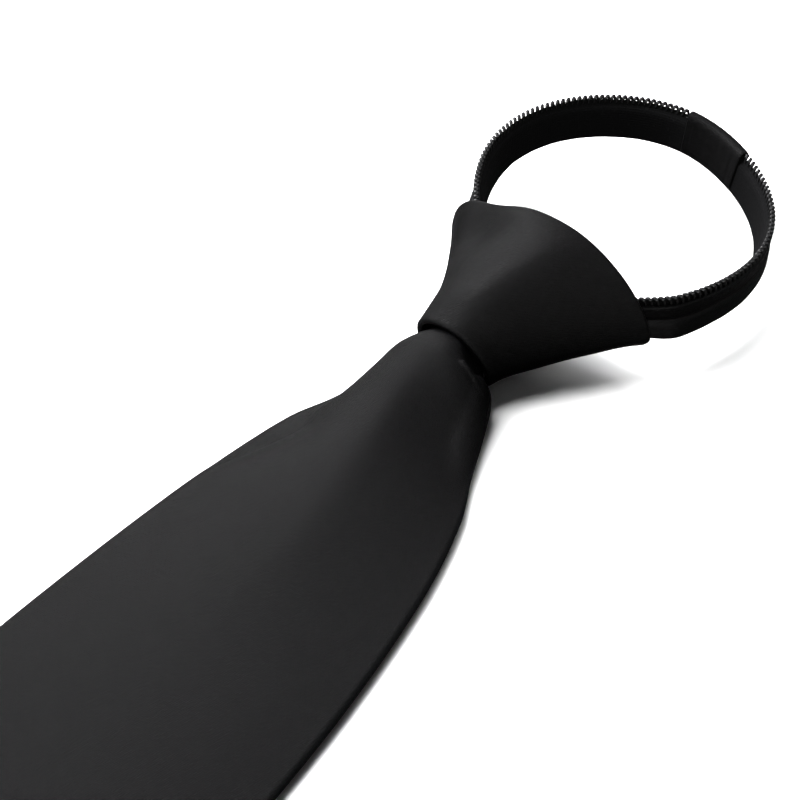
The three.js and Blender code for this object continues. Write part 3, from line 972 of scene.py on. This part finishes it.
@dataclass
class NeckBand:
    """One side of the neck loop: a woven tape inside, a satin facing outside and the coil on top."""

    line: NeckLine
    side: Side
    nape: float = math.radians(70.5)
    sleeve_half_span: float = math.radians(20.0)
    gap: float = 0.3
    coil_pitch: float = 1.35
    coil_wire: float = 0.33
    coil_steps: int = 18
    coil_sides: int = 7
    coil_half_out: float = 0.42
    coil_high: float = 0.62
    coil_low: float = 2.3
    coil_out: float = 0.3
    coil_spread: float = 0.8
    coil_swell: float = 0.4
    tape_edges: tuple[float, float] = (1.2, 10.95)
    facing_edges: tuple[float, float] = (2.5, 11.0)
    facing_round: float = 0.55
    facing_back: float = 0.2
    stitch_pitch: float = 2.6
    stitch_length: float = 1.3
    stitch_drop: float = 3.35
    stitch_dip: float = 0.14
    stitch_radius: float = 0.09
    profile: SectionTable = SectionTable(
        ("drop", "out", "flare"),
        (
            (2.5, 1.15, 0.0),
            (4.4, 1.2, 0.0),
            (5.7, 1.15, 0.05),
            (6.3, 0.95, 0.2),
            (7.0, 1.65, 0.5),
            (9.2, 2.2, 0.9),
            (11.2, 2.5, 1.0),
        ),
    )

    def tape(self) -> Surface:
        """The woven tape: a thin rounded strip, in the coil's middle above and behind the facing below.

        Its middle moves inwards below the coil, where it is thicker, and its lower edge waves slightly.

        Returns:
            The tape's skin.
        """
        seam = self.gap / 2 / self.line.half_width
        angles, distance = self.line.evenly(self.side.end, self.nape + self.side.turn * seam, 0.7)
        turn = np.linspace(0.0, math.tau, 46, endpoint=False)[None]
        drop = between(*self.tape_edges, boxy(np.cos(turn), 0.35))
        middle = -0.62 * smoothstep(drop, 1.8, 3.6)
        half = 0.2 + 0.22 * smoothstep(drop, 1.8, 3.2)
        wobble = 0.1 * ripple(distance[:, None], drop * 3.0, 21, 26.0)
        place = self.line.at(angles)
        out = middle + half * boxy(np.sin(turn), 0.5) + wobble * smoothstep(drop, 4.0, 11.0)
        out = out + place["flare"][:, None] * 0.25 * smoothstep(drop, 6.0, 11.0)
        return Surface(self.line.carry(angles, np.broadcast_to(drop, out.shape), out), capped=True)

    def facing(self) -> Surface:
        """The satin facing: a strip with one long fold, whose lower half stands out past the upper half.

        Both edges are rounded by the root of 1 - (1 - s)^2, with s the distance from the edge over the
        rounding's length.

        Returns:
            The facing's skin.
        """
        angles, distance = self.line.evenly(self.side.end, self.stop(), 0.6)
        high, low = self.facing_edges
        drop = between(high, low, np.cos(np.linspace(0.0, math.pi, 44)))[None]
        near_edge = np.clip(np.minimum(drop - high, low - drop) / self.facing_round, 0.0, 1.0)
        rounded = np.sqrt(1.0 - (1.0 - near_edge) ** 2)
        place = self.line.at(angles)
        flare = place["flare"][:, None] * self.profile.at("flare", drop)
        tremor = 0.14 * ripple(distance[:, None], drop * 2.0, 33, 30.0) * smoothstep(drop, 4.0, 7.0)
        front = 0.25 + (self.profile.at("out", drop) - 0.25 + flare + tremor) * rounded
        rear = self.facing_back + flare[:, -2:0:-1] * 0.3
        drops = np.concatenate([drop, drop[:, -2:0:-1]], axis=1)
        out = np.concatenate([front, rear], axis=1)
        return Surface(self.line.carry(angles, np.broadcast_to(drops, out.shape), out), capped=True)

    def stop(self) -> float:
        """The angle where the coil and the facing stop short of the nape sleeve."""
        return self.nape + self.side.turn * (self.sleeve_half_span + self.gap * 1.2 / self.line.half_width)

    def coil(self) -> Surface:
        """The nylon coil: one wire wound in flat-sided turns that stand up past the tape's edge.

        Round one turn the drop goes as -cos and the outward distance as sin, each raised to a power below 1
        for flat sides, while the angle round the loop advances by one pitch. The wire swells at the turn's
        head, where it would lock into the other side.

        Returns:
            The wire.
        """
        angles, distance = self.line.evenly(self.side.end, self.stop(), self.coil_pitch / self.coil_steps)
        turn = math.tau * distance / self.coil_pitch
        head = np.cos(turn)
        spread = self.coil_pitch / math.tau * self.coil_spread * np.sin(turn)
        angles = np.interp(distance + spread, distance, angles)
        drop = between(self.coil_high, self.coil_low, boxy(head, 0.75))
        out = self.coil_out + self.coil_half_out * boxy(np.sin(turn), 0.7)
        path = self.line.carry(angles, drop[:, None], out[:, None])[:, 0]
        ahead = np.gradient(self.line.at(angles)["top"], axis=0)
        swell = 1.0 + self.coil_swell * smoothstep(head, 0.3, 0.9)
        return tube(path, ahead, self.coil_wire * swell, self.coil_sides)

    def stitches(self) -> list[Surface]:
        """The row of short stitches that holds the facing's upper edge to the tape.

        Returns:
            One short thread for each stitch, whose ends dip into the facing.
        """
        starts = self.line.evenly(self.side.end, self.stop(), self.stitch_pitch)[1][:-1]
        fine, travelled = self.line.evenly(self.side.end, self.stop(), 0.1)
        along = np.linspace(0.0, 1.0, 7)
        drop = np.full((len(along), 1), self.stitch_drop)
        proud = float(self.profile.at("out", self.stitch_drop)) + 0.03
        out = proud - self.stitch_dip * np.abs(2.0 * along - 1.0) ** 2.2
        threads = []
        for start in starts:
            at = np.interp(start + along * self.stitch_length, travelled, fine)
            path = self.line.carry(at, drop, out[:, None])[:, 0]
            threads.append(tube(path, self.line.at(at)["away"], self.stitch_radius, 6))
        return threads

    def build(self, shop: Workshop) -> None:
        """Makes the band's tape, facing, stitches and coil.

        Args:
            shop: the workshop that makes the pieces.
        """
        name = self.side.label
        tape = shop.make(f"neck_tape_{name}", [self.tape()], Slot.TAPE, f"zipper_tape_{name}")
        coil = shop.make(f"neck_coil_{name}", [self.coil()], Slot.COIL, f"zipper_coil_{name}")
        facing = shop.make(f"neck_facing_{name}", [self.facing()], Slot.SATIN, f"facing_{name}")
        stitches = shop.make(f"facing_stitches_{name}", self.stitches(), Slot.SATIN)
        length = float(self.line.evenly(self.side.end, self.nape, 1.0)[1][-1]) * MM


@dataclass
class NapeSleeve:
    """The satin sleeve round the two tapes' ends at the back of the neck."""

    line: NeckLine
    middle: float = math.radians(70.5)
    half_span: float = math.radians(20.0)
    rim: float = 0.5
    square_drop: float = 0.32
    square_out: float = 0.67
    band_middle: float = -0.3
    rows: int = 64
    rim_steps: int = 5

    def section(self, inset: Array) -> tuple[Array, Array]:
        """Flattened ring round the band, from the outside to the inside of the sleeve's wall.

        The ring is squared off: the drop goes as -cos and the distance out as sin, each to its own power.

        Args:
            inset: 0 at the outer face and 1 at the inner face, one value per row.

        Returns:
            Drops and distances outwards, rows x points.
        """
        turn = np.linspace(0.0, math.tau, 72, endpoint=False)[None]
        inset = inset[:, None]
        high = 0.1 + 0.4 * inset
        low = 11.1 - 0.3 * inset
        inner = -1.45 + 0.3 * inset
        outer = 1.45 - 0.45 * inset
        drop = between(high, low, boxy(np.cos(turn), self.square_drop))
        return drop, between(outer, inner, boxy(np.sin(turn), self.square_out))

    def surface(self) -> Surface:
        """The sleeve's wall, with rolled ends, a slight waist at each hem and soft cross wrinkles.

        Returns:
            The wall.
        """
        first, last = self.middle - self.half_span, self.middle + self.half_span
        around, inset = rolled_wall(first, last, self.rim / self.line.half_width, self.rows, self.rim_steps)
        drop, out = self.section(inset)
        place = (around - self.middle) / self.half_span
        hem = bell(np.abs(place), 0.78, 0.05)[:, None]
        puff = (1.0 - place**4)[:, None] * 0.25 - 0.18 * hem
        wrinkle = 0.13 * ripple(place[:, None] * 9.0, drop * 1.2, 55, 7.0)
        fuller = 1.0 + (puff + wrinkle) * 0.32 * (1.0 - inset[:, None] * 0.5)
        shaped = self.band_middle + (out - self.band_middle) * fuller
        return Surface(self.line.carry(around, drop, shaped), closed_rows=True)

    def build(self, shop: Workshop) -> None:
        sleeve = shop.make("nape_sleeve", [self.surface()], Slot.SATIN, "neck_joint")


@dataclass
class ZipperTail:
    """The closed part of the zipper behind the blade: two tapes and the two coils locked together."""

    last: float = -175.0
    first: float = 17.0
    pitch: float = 1.32
    turn_steps: int = 12
    half_thickness: float = 0.42
    wire: float = 0.28
    sections: SectionTable = SectionTable(
        ("y", "half", "x", "base"),
        (
            (17, 4.0, -3.4, 2.4),
            (3, 4.4, -3.4, 1.9),
            (-8, 5.8, -2.4, 0.4),
            (-16, 8.6, -1.0, 0.0),
            (-40, 10.6, 0.0, 0.0),
            (-175, 11.4, 0.0, 0.0),
        ),
    )

    def tapes(self) -> Surface:
        """Both tapes as one flat strip with rounded edges, raised a little where the coils are sewn on.

        Returns:
            The strip's skin.
        """
        y = np.linspace(self.first, self.last, 260)
        turn = np.linspace(0.0, math.tau, 64, endpoint=False)[None]
        half = self.sections.at("half", y)[:, None]
        middle = self.sections.at("x", y)[:, None]
        base = np.maximum(self.sections.at("base", y), 0.0)[:, None]
        reach = boxy(np.cos(turn), 0.5) * half
        upper = boxy(np.sin(turn), 0.4)
        z = base + 0.5 + self.half_thickness * upper + 0.25 * bell(reach, 0.0, 2.4) * (upper > 0)
        x = middle + reach
        grid = np.stack([x, np.broadcast_to(y[:, None], x.shape), z], axis=-1)
        return Surface(grid, capped=True)

    def chain(self) -> list[Surface]:
        """The two locked coils: turns in the x-z plane, a quarter pitch apart, along the middle of the tapes.

        Returns:
            The two wires.
        """
        sides = []
        for sign, offset in ((-1.0, 0.0), (1.0, 0.25)):
            count = int((self.first - self.last - 2.0) / self.pitch)
            turns = np.linspace(0.0, count, count * self.turn_steps + 1)
            y = self.first - 1.0 - (turns + offset) * self.pitch
            phase = math.tau * turns
            x = self.sections.at("x", y) + sign * (0.55 + 1.0 * np.cos(phase))
            z = np.maximum(self.sections.at("base", y), 0.0) + 1.32 + 0.48 * np.sin(phase)
            path = np.stack([x, y, z], axis=-1)
            sides.append(tube(path, np.broadcast_to([0.0, 1.0, 0.0], path.shape), self.wire, 5))
        return sides

    def build(self, shop: Workshop) -> None:
        """Args:
            shop: the workshop that makes the pieces.
        """
        tapes = shop.make("tail_tapes", [self.tapes()], Slot.TAPE, "zipper_tail")
        chain = shop.make("tail_chain", self.chain(), Slot.COIL)


@dataclass
class SliderBody:
    """The zipper's slider, hidden inside the knot: one plain enamelled body with rounded edges."""

    width: float = 9.0
    length: float = 9.0
    height: float = 6.4
    x: float = 0.8
    y: float = 22.2
    z: float = 6.8
    corner_power: float = 0.45
    edge_power: float = 0.22
    rise_power: float = 0.8
    waist: float = 0.14
    taper: float = 0.14

    def surface(self) -> Surface:
        """A cushion-shaped body with a waist, narrower at the foot where the closed zipper leaves it.

        The outline is a squared-off oval, drawn in towards the top and the bottom.

        Returns:
            The slider's skin.
        """
        turn = np.linspace(0.0, math.tau, 72, endpoint=False)[None]
        rise = np.linspace(-math.pi / 2, math.pi / 2, 36)[:, None]
        outline_x = boxy(np.cos(turn), self.corner_power)
        outline_y = boxy(np.sin(turn), self.corner_power)
        draw = np.maximum(np.cos(rise), 0.0) ** self.edge_power
        narrow = (1.0 - self.waist * bell(rise, 0.0, 0.5)) * (1.0 - self.taper * (1.0 - outline_y))
        x = self.x + self.width / 2 * outline_x * draw * narrow
        y = self.y + self.length / 2 * outline_y * draw
        z = self.z + self.height / 2 * (1.0 + boxy(np.sin(rise), self.rise_power))
        return Surface(np.stack([x, y, np.broadcast_to(z, x.shape)], axis=-1), capped=True)

    def build(self, shop: Workshop) -> None:
        """Makes the slider."""
        shop.make("slider_body", [self.surface()], Slot.ENAMEL, "slider")


Inputs = dict[str | int, object]
Socket = bpy.types.NodeSocket


class NodeBench:
    """Places and joins shader nodes in one node tree."""

    def __init__(self, tree: bpy.types.NodeTree) -> None:
        """Starts with a tree's nodes and links."""
        self.nodes = tree.nodes
        self.links = tree.links

    @classmethod
    def cleared(cls, owner: bpy.types.Material | bpy.types.World) -> NodeBench:
        """A bench on the emptied nodes of a material or world.

        Args:
            owner: whose nodes they are.

        Returns:
            The bench.
        """
        owner.use_nodes = True
        owner.node_tree.nodes.clear()
        return cls(owner.node_tree)

    def add(self, kind: str, inputs: Inputs | None = None, **settings: object) -> bpy.types.Node:
        """Adds a node.

        Args:
            kind: the node's type name.
            inputs: values or output sockets for its inputs, by name or number.
            **settings: the node's own properties.

        Returns:
            The node.
        """
        node = self.nodes.new(kind)
        for name, value in settings.items():
            setattr(node, name, value)
        for name, value in (inputs or {}).items():
            if isinstance(value, Socket):
                self.links.new(value, node.inputs[name])
            else:
                node.inputs[name].default_value = value
        return node

    def math(self, operation: str, first: object, second: object = 0.0, clamp: bool = False) -> Socket:
        """The result of a maths node on two values or sockets."""
        node = self.add("ShaderNodeMath", {0: first, 1: second}, operation=operation, use_clamp=clamp)
        return node.outputs[0]

    def over(self, value: object, threshold: float, gain: float) -> Socket:
        """How far a value is over a threshold, times a gain and held between 0 and 1."""
        return self.math("MULTIPLY", self.math("SUBTRACT", value, threshold), gain, clamp=True)

    def noise(self, place: Socket, scale: object, detail: float, rough: float = 0.5) -> Socket:
        """A noise texture's value at a place."""
        inputs = {"Vector": place, "Scale": scale, "Detail": detail, "Roughness": rough}
        return self.add("ShaderNodeTexNoise", inputs).outputs[0]

    def blend(self, share: object, low: object, high: object) -> Socket:
        """The colour between two colours or sockets, by a share."""
        node = self.add("ShaderNodeMix", {0: share, 6: low, 7: high}, data_type="RGBA")
        return node.outputs[2]

    def group(self, tree: bpy.types.NodeTree, inputs: Inputs) -> bpy.types.bpy_prop_collection:
        """Adds a node group with its inputs, and gives its outputs."""
        return self.add("ShaderNodeGroup", inputs, node_tree=tree).outputs

    def dusted(self, dust: bpy.types.NodeTree, amount: float, colour: Socket, grey: Colour) -> Socket:
        """Lays sparse specks of dust over a colour.

        Args:
            dust: the group of settled dust.
            amount: how strong the specks are.
            colour: the colour under them.
            grey: the dust's own colour, linear.

        Returns:
            The dusted colour.
        """
        position = self.add("ShaderNodeTexCoord").outputs["Object"]
        specks = self.group(dust, {"Position": position, "Amount": amount})
        return self.blend(specks["Mask"], colour, (*grey, 1.0))

    def surface(self, height: Socket, strength: float, distance: float, inputs: Inputs) -> None:
        """Adds the surface shader with its bump, and joins it to the material's output.

        Args:
            height: the bump's height.
            strength: the bump's strength.
            distance: the bump's depth, in metres.
            inputs: the shader's other inputs.
        """
        bump = self.add("ShaderNodeBump", {"Strength": strength, "Distance": distance, "Height": height})
        shader = self.add("ShaderNodeBsdfPrincipled", {"Normal": bump.outputs[0], **inputs})
        self.add("ShaderNodeOutputMaterial", {"Surface": shader.outputs[0]})


def new_group(name: str, place: str, values: dict[str, float], outputs: list[str]) -> bpy.types.NodeTree:
    """Makes an empty node group that takes a place and some values, and puts out values.

    Args:
        name: the group's name.
        place: the name of its input for coordinates.
        values: its other inputs, with their values.
        outputs: the names of its outputs.

    Returns:
        The group.
    """
    group = bpy.data.node_groups.new(name, "ShaderNodeTree")
    group.interface.new_socket(place, in_out="INPUT", socket_type="NodeSocketVector")
    for label, value in values.items():
        socket = group.interface.new_socket(label, in_out="INPUT", socket_type="NodeSocketFloat")
        socket.default_value = value
    for label in outputs:
        group.interface.new_socket(label, in_out="OUTPUT", socket_type="NodeSocketFloat")
    return group


def weave_group() -> bpy.types.NodeTree:
    """Group of crossing threads: a diagonal run of floats on satin, or ribs on tape.

    The threads are two sine waves over the cloth map, one of them slanted by the twill, and their evenness is
    broken by a fine noise that is stretched along the threads.

    Returns:
        The group, which puts out the threads' height and a mottle of fine and cloudy noise.
    """
    values = {"Threads per mm": 3.0, "Twill": 0.5, "Unevenness": 0.4}
    group = new_group("crossing_threads", "Cloth", values, ["Height", "Mottle"])
    bench = NodeBench(group)
    taken = bench.add("NodeGroupInput").outputs
    parts = bench.add("ShaderNodeSeparateXYZ", {0: taken["Cloth"]}).outputs
    rate = bench.math("MULTIPLY", taken["Threads per mm"], math.tau)
    slid = bench.math("ADD", parts[0], bench.math("MULTIPLY", parts[1], taken["Twill"]))
    warp = bench.math("SINE", bench.math("MULTIPLY", slid, rate))
    weft = bench.math("SINE", bench.math("MULTIPLY", parts[1], rate))
    threads = bench.math("ADD", warp, bench.math("MULTIPLY", weft, 0.45))
    shrunk = bench.math("MULTIPLY", parts[1], 0.35)
    stretched = bench.add("ShaderNodeCombineXYZ", {0: parts[0], 1: shrunk, 2: 0.0})
    grain = bench.noise(stretched.outputs[0], 3.2, 4.0, 0.65)
    loose = bench.math("MULTIPLY", bench.math("SUBTRACT", grain, 0.5), 4.0)
    uneven = bench.math("MULTIPLY", loose, taken["Unevenness"])
    height = bench.math("ADD", bench.math("MULTIPLY", threads, 0.3), uneven)
    cloud = bench.noise(taken["Cloth"], 0.55, 5.0, 0.7)
    mottle = bench.math("ADD", bench.math("MULTIPLY", cloud, 0.6), bench.math("MULTIPLY", grain, 0.4))
    bench.add("NodeGroupOutput", {"Height": height, "Mottle": mottle})
    return group


def dust_group() -> bpy.types.NodeTree:
    """Group of sparse pale specks: noise peaks over a threshold, thicker in some patches than in others.

    Returns:
        The group, which puts out the specks' mask.
    """
    group = new_group("settled_dust", "Position", {"Amount": 0.3, "Size": 900.0}, ["Mask"])
    bench = NodeBench(group)
    taken = bench.add("NodeGroupInput").outputs
    peak = bench.over(bench.noise(taken["Position"], taken["Size"], 1.0), 0.66, 9.0)
    where = bench.over(bench.noise(taken["Position"], 24.0, 2.0), 0.4, 2.4)
    mask = bench.math("MULTIPLY", bench.math("MULTIPLY", peak, where), taken["Amount"], clamp=True)
    bench.add("NodeGroupOutput", {"Mask": mask})
    return group


def handling_group() -> bpy.types.NodeTree:
    """Group of rubbed patches: a slow noise and a fine one.

    Returns:
        The group, which puts out the slow noise as a mask of rubbed places and the fine one as a height.
    """
    group = new_group("handling_marks", "Position", {"Scale": 300.0}, ["Rubbed", "Height"])
    bench = NodeBench(group)
    taken = bench.add("NodeGroupInput").outputs
    rubbed = bench.over(bench.noise(taken["Position"], taken["Scale"], 3.0), 0.35, 2.2)
    fine = bench.noise(taken["Position"], bench.math("MULTIPLY", taken["Scale"], 7.0), 2.0)
    bench.add("NodeGroupOutput", {"Rubbed": rubbed, "Height": fine})
    return group


@dataclass(frozen=True)
class ClothFinish:
    """A woven finish: two close colours mottled over the threads, a bump of the threads and a faint dust.

    Attributes:
        dark: the darker thread colour, linear.
        light: the lighter thread colour, linear.
        rough: roughness between and on the threads.
        threads: threads per millimetre.
        twill: how far the warp slides per millimetre along.
        unevenness: how strongly a fine noise breaks the threads up.
        bump: strength of the thread bump.
        sheen: constant sheen weight.
        gloss: constant specular level.
        dust: how strong the specks of dust are.
        dust_grey: the dust's colour, linear.
        thread_depth: depth of the thread bump, in metres.
    """

    name: str
    dark: Colour
    light: Colour
    rough: tuple[float, float]
    threads: float
    twill: float
    unevenness: float
    bump: float
    sheen: float
    gloss: float
    dust: float
    dust_grey: Colour = (0.16, 0.16, 0.165)
    thread_depth: float = 0.00006

    def make(self, weave: bpy.types.NodeTree, dust: bpy.types.NodeTree) -> bpy.types.Material:
        """Builds the material from the shared groups.

        Args:
            weave: the crossing threads.
            dust: the settled dust.

        Returns:
            The material.
        """
        material = bpy.data.materials.new(self.name)
        bench = NodeBench.cleared(material)
        cloth = bench.add("ShaderNodeUVMap", uv_map=CLOTH_MAP).outputs[0]
        weave_inputs = {
            "Cloth": cloth,
            "Threads per mm": self.threads,
            "Twill": self.twill,
            "Unevenness": self.unevenness,
        }
        threads = bench.group(weave, weave_inputs)
        colour = bench.blend(threads["Mottle"], (*self.dark, 1.0), (*self.light, 1.0))
        limits = {0: threads["Mottle"], 1: 0.3, 2: 0.7, 3: self.rough[0], 4: self.rough[1]}
        inputs = {
            "Base Color": bench.dusted(dust, self.dust, colour, self.dust_grey),
            "Roughness": bench.add("ShaderNodeMapRange", limits).outputs[0],
            "Sheen Weight": self.sheen,
            "Sheen Roughness": 0.35,
            "Specular IOR Level": self.gloss,
        }
        bench.surface(threads["Height"], self.bump, self.thread_depth, inputs)
        return material


@dataclass(frozen=True)
class HardFinish:
    """A smooth finish of nylon or enamel, rubbed to a lower roughness in patches.

    Attributes:
        dark: its colour where it is fresh, linear.
        light: its colour where it is rubbed, linear.
        rough: roughness where it is fresh and where it is rubbed.
        metal: constant metal share.
        mark_scale: fineness of the rubbed patches.
        bump: strength of the fine bump.
        gloss: constant specular level.
        coat: constant coat weight.
        dust: how strong the specks of dust are.
        dust_grey: the dust's colour, linear.
        mark_depth: depth of the fine bump, in metres.
    """

    name: str
    dark: Colour
    light: Colour
    rough: tuple[float, float]
    metal: float
    mark_scale: float
    bump: float
    gloss: float
    coat: float
    dust: float = 0.2
    dust_grey: Colour = (0.14, 0.14, 0.14)
    mark_depth: float = 0.00003

    def make(self, marks: bpy.types.NodeTree, dust: bpy.types.NodeTree) -> bpy.types.Material:
        """Builds the material from the shared groups.

        Args:
            marks: the handling marks.
            dust: the settled dust.

        Returns:
            The material.
        """
        material = bpy.data.materials.new(self.name)
        bench = NodeBench.cleared(material)
        position = bench.add("ShaderNodeTexCoord").outputs["Object"]
        worn = bench.group(marks, {"Position": position, "Scale": self.mark_scale})
        colour = bench.blend(worn["Rubbed"], (*self.dark, 1.0), (*self.light, 1.0))
        limits = {0: worn["Rubbed"], 3: self.rough[0], 4: self.rough[1]}
        inputs = {
            "Base Color": bench.dusted(dust, self.dust, colour, self.dust_grey),
            "Roughness": bench.add("ShaderNodeMapRange", limits).outputs[0],
            "Metallic": self.metal,
            "Specular IOR Level": self.gloss,
            "Coat Weight": self.coat,
        }
        bench.surface(worn["Height"], self.bump, self.mark_depth, inputs)
        return material


BLACK_SATIN = ClothFinish(
    name="black_satin",
    dark=(0.0014, 0.0014, 0.0015),
    light=(0.0032, 0.0031, 0.0034),
    rough=(0.35, 0.49),
    threads=2.6,
    twill=0.25,
    unevenness=1.3,
    bump=0.62,
    sheen=0.0,
    gloss=0.07,
    dust=0.02,
)
BLACK_TAPE = ClothFinish(
    name="black_woven_tape",
    dark=(0.0016, 0.0016, 0.0018),
    light=(0.0034, 0.0034, 0.0037),
    rough=(0.78, 0.92),
    threads=1.6,
    twill=0.0,
    unevenness=0.5,
    bump=0.9,
    sheen=0.0,
    gloss=0.06,
    dust=0.05,
)
BLACK_NYLON = HardFinish(
    name="black_nylon",
    dark=(0.006, 0.006, 0.0065),
    light=(0.012, 0.012, 0.0125),
    rough=(0.26, 0.16),
    metal=0.0,
    mark_scale=260.0,
    bump=0.2,
    gloss=0.3,
    coat=0.0,
)
BLACK_ENAMEL = HardFinish(
    name="black_enamel",
    dark=(0.008, 0.008, 0.009),
    light=(0.022, 0.022, 0.023),
    rough=(0.38, 0.26),
    metal=0.3,
    mark_scale=420.0,
    bump=0.15,
    gloss=0.5,
    coat=0.3,
)


@dataclass(frozen=True)
class Lamp:
    """A square soft light: where it stands, its size in metres, its power in watts and what it acts on.

    shines is whether it shows in the sheen of the cloth, and lights_up whether it lights matt surfaces.
    """

    name: str
    direction: Triple
    size: float
    power: float
    shines: bool
    lights_up: bool


@dataclass
class Studio:
    """The pale floor, the soft light from the left and the camera at the photograph's angle.

    Attributes:
        forward, right: the camera's directions, fitted to the photograph.
        lens, sensor: its focal length and width of view, in millimetres.
        floor_half: half the floor's side, in metres.
        bounce: the floor's colour for light that bounces off it, so that black cloth stays black.
        surround: strength of the even light from all round.
        target: the point that the lamps face, in metres.
        reach: how far the lamps stand from it, in metres.
        lamps: the lamps.
    """

    forward: Triple = (-0.40166, 0.52536, -0.75011)
    right: Triple = (0.79440, 0.60740, 0.0)
    lens: float = 76.05
    sensor: float = 36.0
    floor_half: float = 2.5
    bounce: float = 0.05
    surround: float = 0.05
    target: Triple = (0.0, 0.12, 0.0)
    reach: float = 1.3
    lamps: tuple[Lamp, ...] = (
        Lamp("high_shade", (-0.5, 0.2, 0.85), 0.7, 39.0, False, True),
        Lamp("left_shade", (-0.7, -0.1, 0.7), 0.7, 43.0, False, True),
        Lamp("back_shade", (-0.3, 0.8, 0.5), 0.7, 15.0, False, True),
        Lamp("high_window", (-0.63, 0.525, 0.57), 0.6, 5.0, True, True),
        Lamp("left_window", (-0.79, 0.47, 0.4), 0.3, 8.5, True, True),
        Lamp("back_wall", (-0.3, 0.8, 0.5), 0.7, 5.0, True, False),
        Lamp("left_wall", (-0.9, -0.3, 0.5), 0.6, 19.0, True, False),
        Lamp("left_ceiling", (-0.56, -0.08, 0.83), 0.5, 8.0, True, False),
        Lamp("right_wall", (0.6, 0.5, 0.6), 0.6, 5.0, True, False),
        Lamp("room_ahead", (0.5, -0.68, 0.55), 0.7, 20.0, True, False),
    )

    def build(self, shop: Workshop) -> None:
        """Makes the floor, the lights, the world and the camera.

        Args:
            shop: the workshop, which knows where the tie lies.
        """
        self.floor()
        for lamp in self.lamps:
            self.light(lamp)
        self.world()
        self.camera(shop)
        bpy.context.scene.view_settings.view_transform = "Standard"

    def floor(self) -> None:
        """A wide pale plane just under the tie."""
        half = self.floor_half
        mesh = bpy.data.meshes.new("floor")
        corners = [(-half, -half, 0.0), (half, -half, 0.0), (half, half, 0.0), (-half, half, 0.0)]
        mesh.from_pydata(corners, [], [(0, 1, 2, 3)])
        material = bpy.data.materials.new("pale_floor")
        bench = NodeBench.cleared(material)
        cloud = bench.noise(bench.add("ShaderNodeTexCoord").outputs["Object"], 2.0, 2.0)
        seen = bench.blend(cloud, (0.86, 0.86, 0.865, 1.0), (0.89, 0.89, 0.89, 1.0))
        camera_ray = bench.add("ShaderNodeLightPath").outputs["Is Camera Ray"]
        colour = bench.blend(camera_ray, (self.bounce, self.bounce, self.bounce, 1.0), seen)
        inputs = {"Base Color": colour, "Roughness": 0.8, "Specular IOR Level": 0.0}
        shader = bench.add("ShaderNodeBsdfPrincipled", inputs)
        bench.add("ShaderNodeOutputMaterial", {"Surface": shader.outputs[0]})
        mesh.materials.append(material)
        plane = bpy.data.objects.new("floor", mesh)
        bpy.context.scene.collection.objects.link(plane)
        plane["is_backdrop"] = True

    def light(self, lamp: Lamp) -> None:
        """Adds a square area light that faces the target.

        Args:
            lamp: which lamp.
        """
        area = bpy.data.lights.new(lamp.name, "AREA")
        area.shape = "RECTANGLE"
        area.size, area.size_y = lamp.size, lamp.size
        area.energy = lamp.power
        light = bpy.data.objects.new(lamp.name, area)
        light.visible_glossy = lamp.shines
        light.visible_diffuse = lamp.lights_up
        outwards = self.reach * np.array(lamp.direction) / np.linalg.norm(lamp.direction)
        side = np.cross(-outwards, (0.0, 0.0, 1.0))
        light.matrix_world = looking(np.array(self.target) + outwards, -outwards, side)
        bpy.context.scene.collection.objects.link(light)

    def world(self) -> None:
        """Sets an even white light from all round."""
        world = bpy.data.worlds.new("soft_surround")
        bench = NodeBench.cleared(world)
        glow = bench.add("ShaderNodeBackground", {"Color": (1.0, 1.0, 1.0, 1.0), "Strength": self.surround})
        bench.add("ShaderNodeOutputWorld", {"Surface": glow.outputs[0]})
        bpy.context.scene.world = world

    def camera(self, shop: Workshop) -> None:
        """Places the camera from its eye point and its forward and right directions.

        Args:
            shop: the workshop, which knows where the tie lies.
        """
        lens = bpy.data.cameras.new("photo_camera")
        lens.lens = self.lens
        lens.sensor_width = self.sensor
        lens.clip_start, lens.clip_end = 0.01, 10.0
        camera = bpy.data.objects.new("photo_camera", lens)
        camera.matrix_world = looking(shop.metres(EYE), np.array(self.forward), np.array(self.right))
        bpy.context.scene.collection.objects.link(camera)
        bpy.context.scene.camera = camera


def dress(shop: Workshop) -> None:
    """Builds the four finishes from their shared groups.

    Args:
        shop: the workshop that takes them.
    """
    weave, dust, marks = weave_group(), dust_group(), handling_group()
    shop.finishes = {
        Slot.SATIN: BLACK_SATIN.make(weave, dust),
        Slot.TAPE: BLACK_TAPE.make(weave, dust),
        Slot.COIL: BLACK_NYLON.make(marks, dust),
        Slot.ENAMEL: BLACK_ENAMEL.make(marks, dust),
    }


def main() -> None:
    """Builds the tie piece by piece, and the studio round it."""
    logging.basicConfig(level=logging.INFO, format="%(name)s: %(message)s")
    shop = Workshop()
    dress(shop)
    Studio().build(shop)
    FrontBlade().build(shop)
    Knot().build(shop)
    SliderBody().build(shop)
    line = NeckLine()
    for side in Side:
        NeckBand(line, side).build(shop)
    NapeSleeve(line).build(shop)
    ZipperTail().build(shop)


if __name__ == "__main__":
    main()
